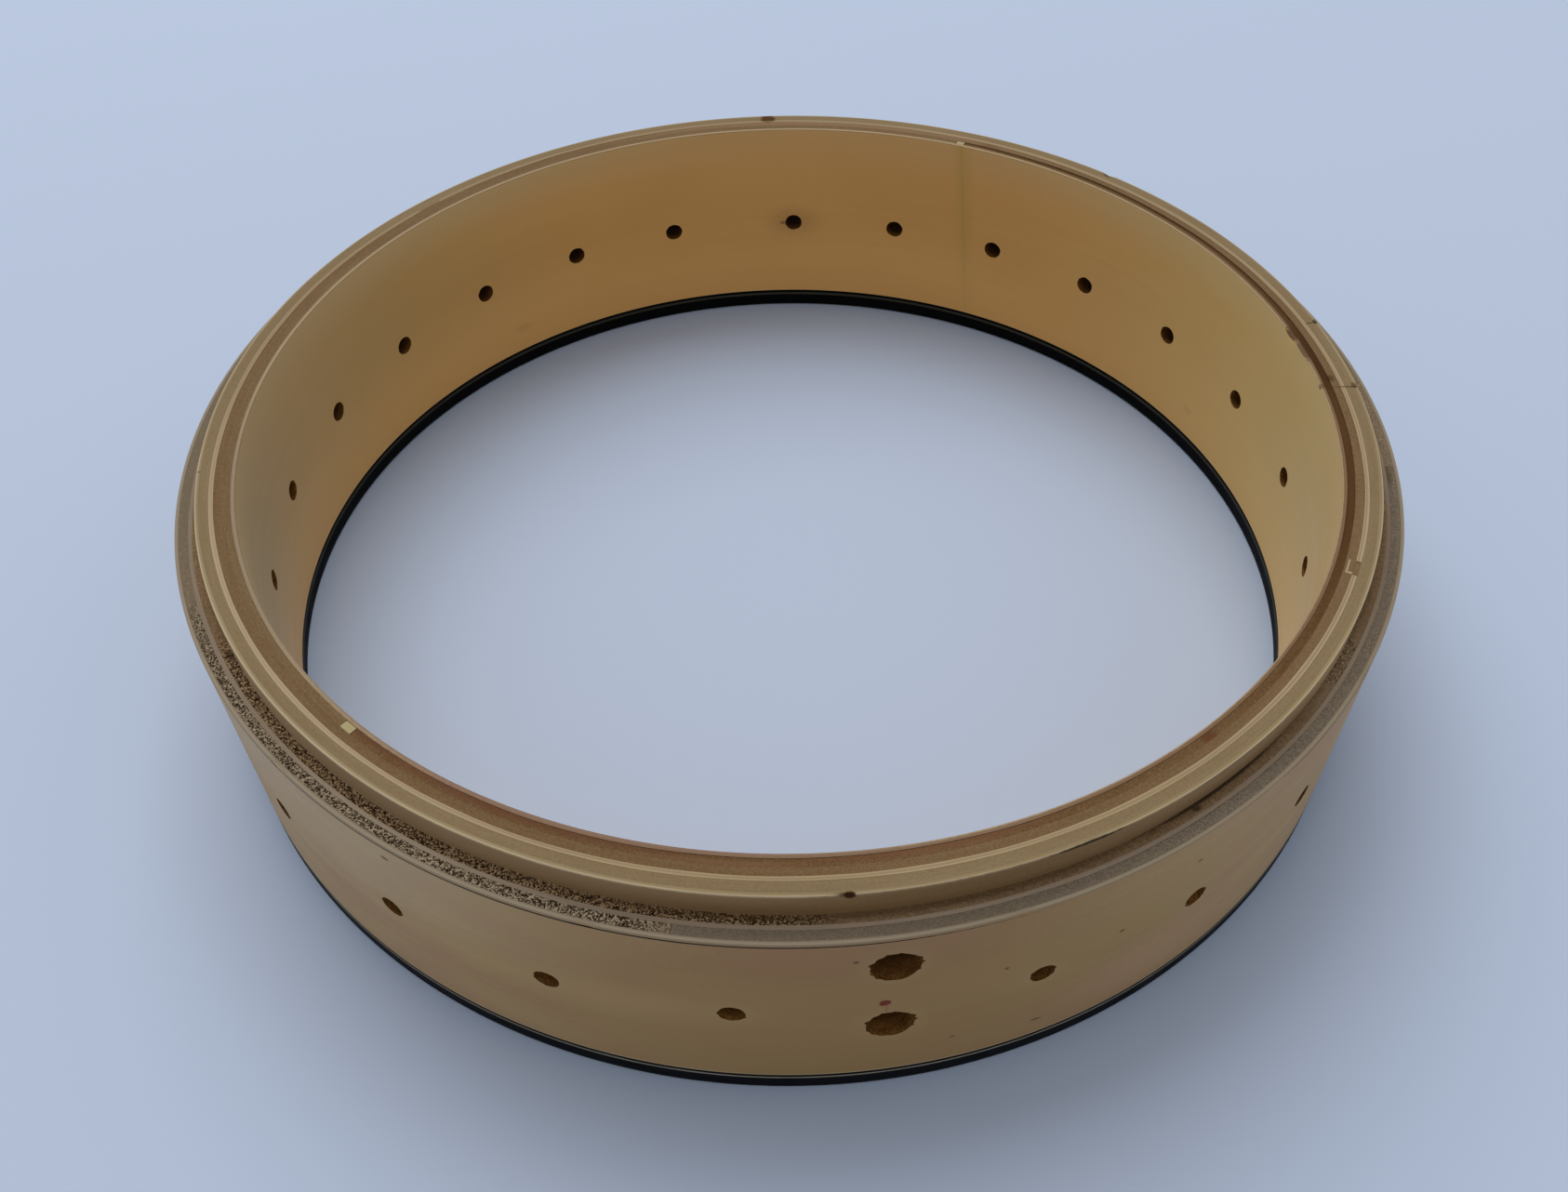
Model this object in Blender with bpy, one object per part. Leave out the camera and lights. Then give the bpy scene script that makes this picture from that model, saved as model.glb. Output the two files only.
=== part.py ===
"""Banjo rim: a laminated wooden hoop with a stepped top edge and a bound bottom edge.

The hoop's axis is Z and the bottom of its binding lies on Z = 0. The neck joins it at -Y.
Angles go round the axis from the neck, in degrees, and grow towards +X.
Every layer follows one many-sided outline whose sides are centred on the bracket holes,
so neighbouring layers stay parallel and each hole lies in a flat side.
"""

from dataclasses import dataclass, field
from math import cos, degrees, pi, radians, sin, sqrt

import bmesh
import bpy
from mathutils import Matrix, Vector

MM = 0.001

# Overall sizes, in millimetres
OUTER_RADIUS = 139.7
RIM_HEIGHT = 61.5
LEDGE_DROP = 5.8

# Layer thicknesses from the outside inwards, in millimetres
OUTER_VENEER = 1.1
OUTER_CROSS_PLY = 2.0
LEDGE_LONG_PLY = 0.9
LEDGE_CROSS_PLY = 2.1
RIDGE_EDGE_PLY = 0.85
RIDGE_CROSS_PLY = 2.15
RIDGE_LONG_PLY = 1.0
MIDDLE_CROSS_PLY = 1.85
INNER_CROSS_PLY = 1.75
INNER_VENEER = 1.0

# Binding heights from the bottom upwards, in millimetres
CAP_HEIGHT = 3.8
WHITE_LINE_HEIGHT = 0.8
BLACK_LINE_HEIGHT = 0.9

# Clearances, in millimetres
GLUE_LINE = 0.1
BUTT_GAP = 0.2

# Edge breaks, in millimetres
CAP_EDGE_BREAK = 0.6
VENEER_EDGE_BREAK = 0.35
RIDGE_EDGE_BREAK = 0.3

# Bracket holes, in millimetres and degrees
BRACKET_COUNT = 24
BRACKET_HOLE_DIAMETER = 5.1
BRACKET_HOLE_HEIGHT = 30.4
NECK_HALF_GAP = 12.0
TAIL_HALF_GAP = 8.6

# Neck bolt holes, in millimetres
NECK_HOLE_DIAMETER = 9.2
NECK_HOLE_LOWER_HEIGHT = 24.5
NECK_HOLE_SPACING = 21.5

# Joints in the plies, in degrees round the axis
VENEER_SEAM_ANGLE = 148.2
VENEER_SEAM_SLANT = 2.8
SUNK_PLY_START = -47.2
LONG_PLY_GAP_START = 55.0
MIDDLE_PLY_JOINT = 83.0
SPLICE_START = 83.0
SPLICE_ARC = 11.0
RIDGE_EDGE_JOINT = -86.8
LEDGE_PLY_JOINT = -64.3
SMOOTH_PLY_START = -16.0
SMOOTH_PLY_ARC = 89.9

# Small pieces at the joints, in millimetres
SUNK_DEPTH = 0.6
START_BLOCK_WIDTH = 3.0
SEAM_BLOCK_WIDTH = 2.3
LONG_PLY_GAP_WIDTH = 4.3
WEDGE_DEPTH = 8.0
FOLDED_END_THICKNESS = 0.6
FOLDED_END_INSET = 0.45

# How finely round shapes are cut into sides
NECK_SIDES = 2
PITCH_SIDES = 2
TAIL_SIDES = 2
BRACKET_HOLE_SIDES = 6
NECK_HOLE_SIDES = 16
CUTTER_OVERSHOOT = 6.0
SHARP_ANGLE = 30.0
END_MARGIN = 0.02

FULL_TURN = 360.0


@dataclass(frozen=True)
class Finish:
    """Colour, roughness and gloss of one piece's surface."""

    colour: tuple
    roughness: float
    coat: float = 0.0


@dataclass(frozen=True)
class Layer:
    """One layer of the hoop: where it lies across the wall and how high it stands."""

    inner: float
    outer: float
    bottom: float
    top: float


@dataclass(frozen=True)
class End:
    """One end of a strip: its angle at the top and how far it leans back at the bottom."""

    angle: float
    slant: float = 0.0


@dataclass
class Strip:
    """A piece of one layer that runs from one end to the other, or all the way round."""

    name: str
    layer: Layer
    finish: Finish
    start: End = None
    end: End = None
    breaks: dict = field(default_factory=dict)


MAPLE_FACE = Finish((0.62, 0.40, 0.19), 0.32, 0.35)
PALE_LONG_GRAIN = Finish((0.56, 0.43, 0.27), 0.6)
TAN_END_GRAIN = Finish((0.40, 0.28, 0.15), 0.75)
BROWN_END_GRAIN = Finish((0.27, 0.15, 0.075), 0.75)
STAINED_END_GRAIN = Finish((0.11, 0.05, 0.022), 0.8)
ROUGH_END_GRAIN = Finish((0.24, 0.18, 0.12), 0.9)
GREY_END_GRAIN = Finish((0.30, 0.25, 0.19), 0.85)
BLACK_BINDING = Finish((0.01, 0.011, 0.016), 0.35, 0.3)
WHITE_BINDING = Finish((0.75, 0.74, 0.70), 0.4, 0.2)


def wall_layers():
    """Works out every layer from the outer radius inwards and from the cap upwards."""
    ridge_top = RIM_HEIGHT
    ledge_top = RIM_HEIGHT - LEDGE_DROP
    wood_bottom = CAP_HEIGHT + WHITE_LINE_HEIGHT + BLACK_LINE_HEIGHT
    plies = (
        ("outer_veneer", OUTER_VENEER, ledge_top),
        ("outer_cross", OUTER_CROSS_PLY, ledge_top),
        ("ledge_long", LEDGE_LONG_PLY, ledge_top),
        ("ledge_cross", LEDGE_CROSS_PLY, ledge_top),
        ("ridge_edge", RIDGE_EDGE_PLY, ridge_top),
        ("ridge_cross", RIDGE_CROSS_PLY, ridge_top),
        ("ridge_long", RIDGE_LONG_PLY, ridge_top),
        ("middle_cross", MIDDLE_CROSS_PLY, ridge_top),
        ("inner_cross", INNER_CROSS_PLY, ridge_top),
        ("inner_veneer", INNER_VENEER, ridge_top),
    )
    layers = {}
    outer = OUTER_RADIUS
    for name, thickness, top in plies:
        inner = outer - thickness
        glued = (inner + GLUE_LINE / 2, outer - GLUE_LINE / 2)
        layers[name] = Layer(*glued, wood_bottom + GLUE_LINE / 2, top)
        outer = inner
    wall_inner = outer
    layers["outer_veneer"] = with_faces(layers["outer_veneer"], outer=OUTER_RADIUS)
    layers["inner_veneer"] = with_faces(layers["inner_veneer"], inner=wall_inner)
    bands = (
        ("cap", 0.0, CAP_HEIGHT),
        ("white_line", CAP_HEIGHT, WHITE_LINE_HEIGHT),
        ("black_line", CAP_HEIGHT + WHITE_LINE_HEIGHT, BLACK_LINE_HEIGHT),
    )
    for name, bottom, height in bands:
        lift = GLUE_LINE / 2 if bottom > 0.0 else 0.0
        layers[name] = Layer(wall_inner, OUTER_RADIUS, bottom + lift, bottom + height - GLUE_LINE / 2)
    return layers


def with_faces(layer, inner=None, outer=None):
    """Copies a layer with another inner or outer face."""
    new_inner = layer.inner if inner is None else inner
    new_outer = layer.outer if outer is None else outer
    return Layer(new_inner, new_outer, layer.bottom, layer.top)


def bracket_angles():
    """Angles of the bracket holes, evenly spaced between the neck gap and the tail gap."""
    per_side = BRACKET_COUNT // 2
    pitch = (FULL_TURN / 2 - TAIL_HALF_GAP - NECK_HALF_GAP) / (per_side - 1)
    right = [NECK_HALF_GAP + pitch * step for step in range(per_side)]
    return sorted([-angle for angle in right] + right)


def side_centres():
    """Angles of the outline's sides: at the neck, at each hole, at the tail and between them."""
    half = [0.0] + [angle for angle in bracket_angles() if angle > 0.0] + [FULL_TURN / 2]
    counts = [NECK_SIDES] + [PITCH_SIDES] * (len(half) - 3) + [TAIL_SIDES]
    centres = []
    for low, high, count in zip(half, half[1:], counts):
        centres += [low + (high - low) * step / count for step in range(count)]
    right = centres[1:] + [half[-1]]
    return sorted([-angle for angle in right[:-1]] + [0.0] + right)


def corner_angles():
    """Angles of the outline's corners, halfway between the centres of its sides."""
    centres = side_centres()
    following = centres[1:] + [centres[0] + FULL_TURN]
    return [(low + high) / 2 for low, high in zip(centres, following)]


CORNERS = corner_angles()


def outline_scale(angle):
    """How far inside the corner circle the outline lies at an angle."""
    first = CORNERS[0]
    turned = first + (angle - first) % FULL_TURN
    ends = CORNERS + [first + FULL_TURN]
    for low, high in zip(ends, ends[1:]):
        if low <= turned <= high:
            half_side = radians(high - low) / 2
            return cos(half_side) / cos(radians(turned - (low + high) / 2))
    return 1.0


def on_outline(angle, radius, height):
    """Point on the many-sided outline, in metres."""
    reach = radius * outline_scale(angle) * MM
    return Vector((reach * sin(radians(angle)), -reach * cos(radians(angle)), height * MM))


def corners_between(start, end):
    """Corner angles that lie strictly between two angles, in order."""
    turns = range(-2, 3)
    found = [corner + FULL_TURN * turn for turn in turns for corner in CORNERS]
    return sorted(angle for angle in found if start + END_MARGIN < angle < end - END_MARGIN)


def cross_section(layer, breaks):
    """Section of a layer as radius and height, anticlockwise, with the named corners broken."""
    corners = (
        ("inner_bottom", layer.inner, layer.bottom, (0, 1), (1, 0)),
        ("outer_bottom", layer.outer, layer.bottom, (-1, 0), (0, 1)),
        ("outer_top", layer.outer, layer.top, (0, -1), (-1, 0)),
        ("inner_top", layer.inner, layer.top, (1, 0), (0, -1)),
    )
    section = []
    for name, radius, height, before, after in corners:
        size = breaks.get(name, 0.0)
        if size == 0.0:
            section.append((radius, height))
            continue
        section.append((radius + before[0] * size, height + before[1] * size))
        section.append((radius + after[0] * size, height + after[1] * size))
    return section


def half_gap(layer):
    """Half of a butt joint's gap as an angle on a layer."""
    return degrees(BUTT_GAP / 2 / ((layer.inner + layer.outer) / 2))


def arc_of(width, layer):
    """Angle that a width takes up in the middle of a layer."""
    return degrees(width / ((layer.inner + layer.outer) / 2))


def leaning(end, layer, height, shift):
    """Angle of a strip's end at a height, moved by a shift."""
    share = (layer.top - height) / (layer.top - layer.bottom)
    return end.angle - end.slant * share + shift


def ring_stations(strip):
    """Angles at which a strip's section is placed: one function of height for each place."""
    if strip.start is None:
        return [lambda height, angle=angle: angle for angle in CORNERS]
    layer = strip.layer
    gap = half_gap(layer)
    lowest_end = strip.end.angle - abs(strip.end.slant)
    between = corners_between(strip.start.angle + gap, lowest_end - gap)
    stations = [lambda height: leaning(strip.start, layer, height, gap)]
    stations += [lambda height, angle=angle: angle for angle in between]
    stations.append(lambda height: leaning(strip.end, layer, height, -gap))
    return stations


def loft(mesh_builder, loops, closed):
    """Joins loops of vertices with faces, and caps the two ends of an open run."""
    count = len(loops[0])
    pairs = list(zip(loops, loops[1:]))
    if closed:
        pairs.append((loops[-1], loops[0]))
    for near, far in pairs:
        for index in range(count):
            following = (index + 1) % count
            mesh_builder.faces.new((near[index], near[following], far[following], far[index]))
    if not closed:
        mesh_builder.faces.new(list(reversed(loops[0])))
        mesh_builder.faces.new(loops[-1])
    bmesh.ops.recalc_face_normals(mesh_builder, faces=mesh_builder.faces[:])


def material_for(name, finish):
    """Principled material of one piece."""
    material = bpy.data.materials.new(name + "_finish")
    material.use_nodes = True
    shader = material.node_tree.nodes["Principled BSDF"]
    shader.inputs["Base Color"].default_value = (*finish.colour, 1.0)
    shader.inputs["Roughness"].default_value = finish.roughness
    shader.inputs["Coat Weight"].default_value = finish.coat
    return material


def add_object(name, mesh_builder, finish=None):
    """Turns a built mesh into a scene object with smooth shading and its material."""
    mesh = bpy.data.meshes.new(name)
    mesh_builder.to_mesh(mesh)
    mesh_builder.free()
    piece = bpy.data.objects.new(name, mesh)
    bpy.context.scene.collection.objects.link(piece)
    if finish is not None:
        mesh.shade_smooth()
        mesh.set_sharp_from_angle(angle=radians(SHARP_ANGLE))
        mesh.materials.append(material_for(name, finish))
    return piece


def build_strip(strip):
    """Builds one strip or ring by placing its section round the outline."""
    section = cross_section(strip.layer, strip.breaks)
    builder = bmesh.new()
    loops = []
    for station in ring_stations(strip):
        places = [on_outline(station(height), radius, height) for radius, height in section]
        loops.append([builder.verts.new(place) for place in places])
    loft(builder, loops, closed=strip.start is None)
    return add_object(strip.name, builder, strip.finish)


def build_prism(name, plan, bottom, top, finish=None):
    """Raises a plan, given as angle and radius, from one height to another."""
    builder = bmesh.new()
    base = [builder.verts.new(on_outline(angle, radius, bottom)) for angle, radius in plan]
    face = builder.faces.new(base)
    raised = bmesh.ops.extrude_face_region(builder, geom=[face])
    moved = [item for item in raised["geom"] if isinstance(item, bmesh.types.BMVert)]
    bmesh.ops.translate(builder, verts=moved, vec=(0.0, 0.0, (top - bottom) * MM))
    bmesh.ops.recalc_face_normals(builder, faces=builder.faces[:])
    return add_object(name, builder, finish)


def add_bore(builder, angle, height, diameter, sides, reach):
    """Adds one radial bore to a cutter, with the area of a round hole of the given diameter."""
    round_area = pi * (diameter / 2) ** 2
    corner_radius = sqrt(round_area / (sides / 2 * sin(2 * pi / sides)))
    inner, outer = reach
    middle = (inner + outer) / 2
    outward = Vector((sin(radians(angle)), -cos(radians(angle)), 0.0))
    across = Vector((0.0, 0.0, 1.0)).cross(outward)
    flat_down = Matrix.Rotation(pi / sides, 4, "Z")
    turn = Matrix((across, outward.cross(across), outward)).transposed().to_4x4()
    place = Matrix.Translation(outward * middle * MM + Vector((0.0, 0.0, height * MM)))
    bmesh.ops.create_cone(
        builder,
        cap_ends=True,
        segments=sides,
        radius1=corner_radius * MM,
        radius2=corner_radius * MM,
        depth=(outer - inner) * MM,
        matrix=place @ turn @ flat_down,
    )


def build_hole_cutter(layers):
    """Builds the cutter that holds every bracket hole and both neck bolt holes."""
    inner = layers["inner_veneer"].inner - CUTTER_OVERSHOOT
    outer = layers["outer_veneer"].outer + CUTTER_OVERSHOOT
    reach = (inner, outer)
    bracket_size = (BRACKET_HOLE_DIAMETER, BRACKET_HOLE_SIDES)
    builder = bmesh.new()
    for angle in bracket_angles():
        add_bore(builder, angle, BRACKET_HOLE_HEIGHT, *bracket_size, reach)
    for height in (NECK_HOLE_LOWER_HEIGHT, NECK_HOLE_LOWER_HEIGHT + NECK_HOLE_SPACING):
        add_bore(builder, 0.0, height, NECK_HOLE_DIAMETER, NECK_HOLE_SIDES, reach)
    return hidden_cutter(add_object("hole_cutter", builder))


def hidden_cutter(cutter):
    """Marks an object as a helper that only cuts others."""
    cutter.hide_render = True
    cutter.display_type = "WIRE"
    return cutter


def cut(piece, cutter, label):
    """Takes a cutter's shape out of a piece."""
    modifier = piece.modifiers.new(label, "BOOLEAN")
    modifier.operation = "DIFFERENCE"
    modifier.solver = "EXACT"
    modifier.object = cutter


def inner_strips(layers):
    """The face veneer of the inner wall and the arcs of the ply behind it."""
    veneer = layers["inner_veneer"]
    cross = layers["inner_cross"]
    sunk = Layer(cross.inner, cross.outer, cross.bottom, cross.top - SUNK_DEPTH)
    seam = End(VENEER_SEAM_ANGLE, VENEER_SEAM_SLANT)
    seam_again = End(VENEER_SEAM_ANGLE - FULL_TURN, VENEER_SEAM_SLANT)
    start_block = SUNK_PLY_START - arc_of(START_BLOCK_WIDTH, cross)
    seam_block = VENEER_SEAM_ANGLE + arc_of(SEAM_BLOCK_WIDTH, cross)
    return [
        Strip("inner_face_veneer", veneer, MAPLE_FACE, seam_again, seam, {"inner_top": VENEER_EDGE_BREAK}),
        Strip("inner_ply_sunk_arc", sunk, STAINED_END_GRAIN, End(SUNK_PLY_START), End(VENEER_SEAM_ANGLE)),
        Strip("inner_ply_flush_arc", cross, BROWN_END_GRAIN, End(seam_block), End(start_block + FULL_TURN)),
        Strip("inner_ply_start_block", cross, PALE_LONG_GRAIN, End(start_block), End(SUNK_PLY_START)),
        Strip("inner_ply_seam_block", cross, PALE_LONG_GRAIN, End(VENEER_SEAM_ANGLE), End(seam_block)),
    ]


def ridge_strips(layers):
    """The plies of the bearing ridge, with the short splice on the right-hand side."""
    splice_end = SPLICE_START + SPLICE_ARC
    once_round = SPLICE_START + FULL_TURN
    gap_end = LONG_PLY_GAP_START + arc_of(LONG_PLY_GAP_WIDTH, layers["ridge_long"])
    gap_start = LONG_PLY_GAP_START + FULL_TURN
    joint = MIDDLE_PLY_JOINT
    middle = layers["middle_cross"]
    cross = layers["ridge_cross"]
    edge = layers["ridge_edge"]
    edge_break = {"outer_top": RIDGE_EDGE_BREAK}
    edge_joint = End(RIDGE_EDGE_JOINT)
    edge_joint_again = End(RIDGE_EDGE_JOINT + FULL_TURN)
    splice = (End(SPLICE_START), End(splice_end))
    return [
        Strip("middle_cross_ply", middle, BROWN_END_GRAIN, End(joint), End(joint + FULL_TURN)),
        Strip("ridge_long_ply", layers["ridge_long"], PALE_LONG_GRAIN, End(gap_end), End(gap_start)),
        Strip("ridge_cross_ply", cross, TAN_END_GRAIN, splice[1], End(once_round)),
        Strip("ridge_cross_splice", cross, TAN_END_GRAIN, *splice),
        Strip("ridge_edge_ply_front", edge, PALE_LONG_GRAIN, edge_joint, splice[0], edge_break),
        Strip("ridge_edge_splice", edge, PALE_LONG_GRAIN, *splice, edge_break),
        Strip("ridge_edge_ply_back", edge, PALE_LONG_GRAIN, splice[1], edge_joint_again, edge_break),
    ]


def ledge_strips(layers):
    """The plies that end at the ledge, and the face veneer of the outer wall."""
    ledge = layers["ledge_cross"]
    cross = layers["outer_cross"]
    smooth_start = End(SMOOTH_PLY_START)
    smooth_start_again = End(SMOOTH_PLY_START + FULL_TURN)
    smooth_end = End(SMOOTH_PLY_START + SMOOTH_PLY_ARC)
    joint = LEDGE_PLY_JOINT
    veneer_break = {"outer_top": VENEER_EDGE_BREAK}
    return [
        Strip("ledge_cross_ply", ledge, ROUGH_END_GRAIN, End(joint), End(joint + FULL_TURN)),
        Strip("ledge_long_ply", layers["ledge_long"], PALE_LONG_GRAIN),
        Strip("outer_ply_smooth_arc", cross, GREY_END_GRAIN, smooth_start, smooth_end),
        Strip("outer_ply_rough_arc", cross, ROUGH_END_GRAIN, smooth_end, smooth_start_again),
        Strip("outer_face_veneer", layers["outer_veneer"], MAPLE_FACE, breaks=veneer_break),
    ]


def binding_rings(layers):
    """The black, white and black binding glued under the wall."""
    cap_breaks = {"outer_bottom": CAP_EDGE_BREAK, "inner_bottom": CAP_EDGE_BREAK}
    return [
        Strip("binding_black_line", layers["black_line"], BLACK_BINDING),
        Strip("binding_white_line", layers["white_line"], WHITE_BINDING),
        Strip("binding_black_cap", layers["cap"], BLACK_BINDING, breaks=cap_breaks),
    ]


def gap_wedge(layers):
    """Fills the top of the gap in the pale ridge ply with a brown wedge."""
    long_ply = layers["ridge_long"]
    gap_start = End(LONG_PLY_GAP_START)
    gap_end = End(LONG_PLY_GAP_START + arc_of(LONG_PLY_GAP_WIDTH, long_ply))
    wedge = Layer(long_ply.inner, long_ply.outer, long_ply.top - WEDGE_DEPTH, long_ply.top)
    return build_strip(Strip("ridge_gap_wedge", wedge, BROWN_END_GRAIN, gap_start, gap_end))


def folded_end_plan(layers, grow):
    """Plan of the pale ply's torn end, which turns inwards and lies along the brown ply."""
    middle = layers["middle_cross"]
    start = LONG_PLY_GAP_START
    end = start + arc_of(LONG_PLY_GAP_WIDTH, layers["ridge_long"])
    low = middle.inner + FOLDED_END_INSET
    high = low + FOLDED_END_THICKNESS
    leg = arc_of(FOLDED_END_THICKNESS, middle)
    spread = arc_of(grow, middle)
    mouth = middle.outer + grow
    return [
        (start - spread, low - grow),
        (end + spread, low - grow),
        (end + spread, high + grow),
        (start + leg + spread, high + grow),
        (start + leg + spread, mouth),
        (start - spread, mouth),
    ]


def build_folded_end(layers, middle_ply):
    """Cuts the pocket for the torn end into the brown ply and lays the end in it."""
    top = layers["middle_cross"].top
    bottom = top - WEDGE_DEPTH
    pocket_plan = folded_end_plan(layers, GLUE_LINE)
    pocket_top = top + CUTTER_OVERSHOOT
    pocket = build_prism("folded_end_pocket", pocket_plan, bottom - GLUE_LINE, pocket_top)
    cut(middle_ply, hidden_cutter(pocket), "folded end pocket")
    return build_prism("ridge_ply_folded_end", folded_end_plan(layers, 0.0), bottom, top, PALE_LONG_GRAIN)


def clear_scene():
    """Removes every object of the open scene."""
    for item in list(bpy.context.scene.objects):
        bpy.data.objects.remove(item, do_unlink=True)


def build_rim():
    """Builds every layer of the rim, then cuts the holes through the wooden ones."""
    clear_scene()
    layers = wall_layers()
    wooden = inner_strips(layers) + ridge_strips(layers) + ledge_strips(layers)
    pieces = {strip.name: build_strip(strip) for strip in wooden}
    for strip in binding_rings(layers):
        build_strip(strip)
    cutter = build_hole_cutter(layers)
    for piece in pieces.values():
        cut(piece, cutter, "bracket and neck holes")
    gap_wedge(layers)
    build_folded_end(layers, pieces["middle_cross_ply"])


build_rim()
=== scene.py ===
"""Banjo rim dressed for its portrait: a laminated wooden hoop with a bound bottom edge.

Lengths in the classes are millimetres and angles are degrees round the hoop's axis. An angle of
0 is at the neck, on -Y, and angles grow towards +X. Meshes and nodes work in metres.
"""

from __future__ import annotations

import logging
import math
from collections.abc import Iterable
from dataclasses import dataclass, field
from enum import Enum

import bmesh
import bpy
from mathutils import Matrix, Vector, noise


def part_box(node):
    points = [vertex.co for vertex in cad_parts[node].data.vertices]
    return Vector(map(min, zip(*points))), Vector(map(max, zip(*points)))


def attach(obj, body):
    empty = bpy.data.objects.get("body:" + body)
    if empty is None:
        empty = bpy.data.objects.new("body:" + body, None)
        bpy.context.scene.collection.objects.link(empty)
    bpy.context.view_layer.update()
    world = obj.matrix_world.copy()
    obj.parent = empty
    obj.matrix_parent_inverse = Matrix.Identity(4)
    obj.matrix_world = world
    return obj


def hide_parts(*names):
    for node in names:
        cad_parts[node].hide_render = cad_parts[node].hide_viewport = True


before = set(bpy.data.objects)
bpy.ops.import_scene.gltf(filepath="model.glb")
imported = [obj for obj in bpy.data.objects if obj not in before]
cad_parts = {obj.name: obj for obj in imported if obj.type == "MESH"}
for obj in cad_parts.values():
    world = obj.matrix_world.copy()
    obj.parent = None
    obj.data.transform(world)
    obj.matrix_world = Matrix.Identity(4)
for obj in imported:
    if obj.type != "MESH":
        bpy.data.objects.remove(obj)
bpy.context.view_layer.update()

log = logging.getLogger("banjo_rim")

MM = 0.001
PER_METRE = 1000.0
FULL_TURN = 360.0
BODY = "root"
SHARP = math.radians(38.0)
UP = (0.0, 0.0, 1.0)
ORIGIN = (0.0, 0.0, 0.0)

# Radii and heights that many marks share, and an arc long enough to run all the way round.
INSIDE = 125.0
SKIN = 139.4
RIDGE = 61.5
LEDGE = 55.7
AROUND = 2000.0

# Length of a step of the sweep, reach of the seam's slant in degrees, and how near the top is torn.
SWEEP_STEP = 2.0
SLANT_REACH = 12.0
TORN_DEPTH = 0.03

# Radius and height at the ledge's middle, and a reach past its whole section.
LEDGE_MIDDLE = 136.0
LEDGE_HEIGHT = 55.0
WHOLE = 400.0

Colour = tuple[float, float, float]
Display = tuple[int, int, int]
Span = tuple[float, float]
Node = bpy.types.Node
Socket = bpy.types.NodeSocket
Shape = bmesh.types.BMesh
Piece = bpy.types.Object


def tone(red: int, green: int, blue: int) -> Colour:
    """Turns an 8-bit display colour into the linear colour that shaders take."""
    parts = [value / 255.0 for value in (red, green, blue)]
    return tuple(p / 12.92 if p <= 0.04045 else ((p + 0.055) / 1.055) ** 2.4 for p in parts)


def spot(angle: float, radius: float, height: float) -> Vector:
    """Gives the point in metres at an angle, a radius and a height on the hoop."""
    turn = math.radians(angle)
    return Vector((radius * math.sin(turn), -radius * math.cos(turn), height)) * MM


def hoop_place(point: Vector) -> tuple[float, float, float]:
    """Gives the angle, the radius and the height of a point in metres."""
    angle = math.degrees(math.atan2(point.x, -point.y))
    return angle, math.hypot(point.x, point.y) / MM, point.z / MM


def turn_between(angle: float, centre: float) -> float:
    """Gives the shortest turn from a centre to an angle, from -180 to 180 degrees."""
    return (angle - centre + FULL_TURN / 2) % FULL_TURN - FULL_TURN / 2


def reach_of_box(node: str) -> float:
    """Gives the radius of the widest round piece that stays inside a CAD node's box."""
    low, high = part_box(node)
    return min(high.x, high.y, -low.x, -low.y) / MM - 0.01


class Grain(Enum):
    """Which way the fibres of a layer meet its top face."""

    FACE = "lacquered face"
    LONG = "long grain"
    END = "end grain"
    TORN = "torn end grain"


class Effect(Enum):
    """The shader node groups that several materials use."""

    FIBRES = "fibre_streaks"
    PORES = "end_grain_pores"
    PATCH = "hoop_patch"
    CLOUDS = "tone_clouds"


@dataclass(frozen=True)
class Patch:
    """A stain, knot, worn place, painted shade or painted light: a soft-edged ellipsoid in angle, radius and
    height.
    """

    angle: float
    radius: float
    height: float
    arc: float
    depth: float
    rise: float
    colour: Display
    strength: float = 0.8
    ragged: float = 0.5
    softness: float = 0.35
    lean: float = 0.0
    bare: bool = False


@dataclass(frozen=True)
class Dent:
    """A chip or hollow: points near it move by the given amounts, in millimetres."""

    angle: float
    radius: float
    height: float
    arc: float
    depth: float
    rise: float
    outward: float = 0.0
    upward: float = 0.0
    ragged: float = 0.0

    def pull(self, angle: float, radius: float, height: float) -> float:
        """Gives how strongly a point is moved.

        Args:
            angle: The point's angle.
            radius: The point's radius.
            height: The point's height.

        Returns:
            1 at the dent's middle and 0 outside it.
        """
        arc = math.radians(turn_between(angle, self.angle)) * self.radius / self.arc
        depth = (radius - self.radius) / self.depth
        rise = (height - self.height) / self.rise
        away = math.sqrt(arc * arc + depth * depth + rise * rise)
        if self.ragged:
            away += self.ragged * noise.noise(Vector((arc * self.arc / 1.3, 0.0, height * 0.2)))
        return (1.0 - max(0.0, away) ** 2) ** 0.5 if away < 1.0 else 0.0


@dataclass(frozen=True)
class WoodFinish:
    """One wooden surface: its colours, its grain and how rough or glossy it is."""

    name: str
    grain: Grain
    pale: Colour
    dark: Colour
    streaks: float = 0.5
    fibre_length: float = 60.0
    fibre_width: float = 0.8
    pores: float = 0.0
    pore_size: float = 0.3
    pore_colour: Colour = (0.02, 0.012, 0.006)
    fleck_colour: Colour = (0.36, 0.29, 0.2)
    flecks: float = 0.4
    tint: Colour = (0.3, 0.18, 0.1)
    tinted: float = 0.0
    roughness: float = 0.6
    coat: float = 0.0
    bump: float = 0.05
    patches: tuple[Patch, ...] = ()
    torn_arcs: tuple[Span, ...] = ()


@dataclass(frozen=True)
class BindingFinish:
    """A moulded plastic binding: its colour, its scuffs and its gloss."""

    name: str
    colour: Colour
    scuff: Colour
    roughness: float
    patches: tuple[Patch, ...] = ()


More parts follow.
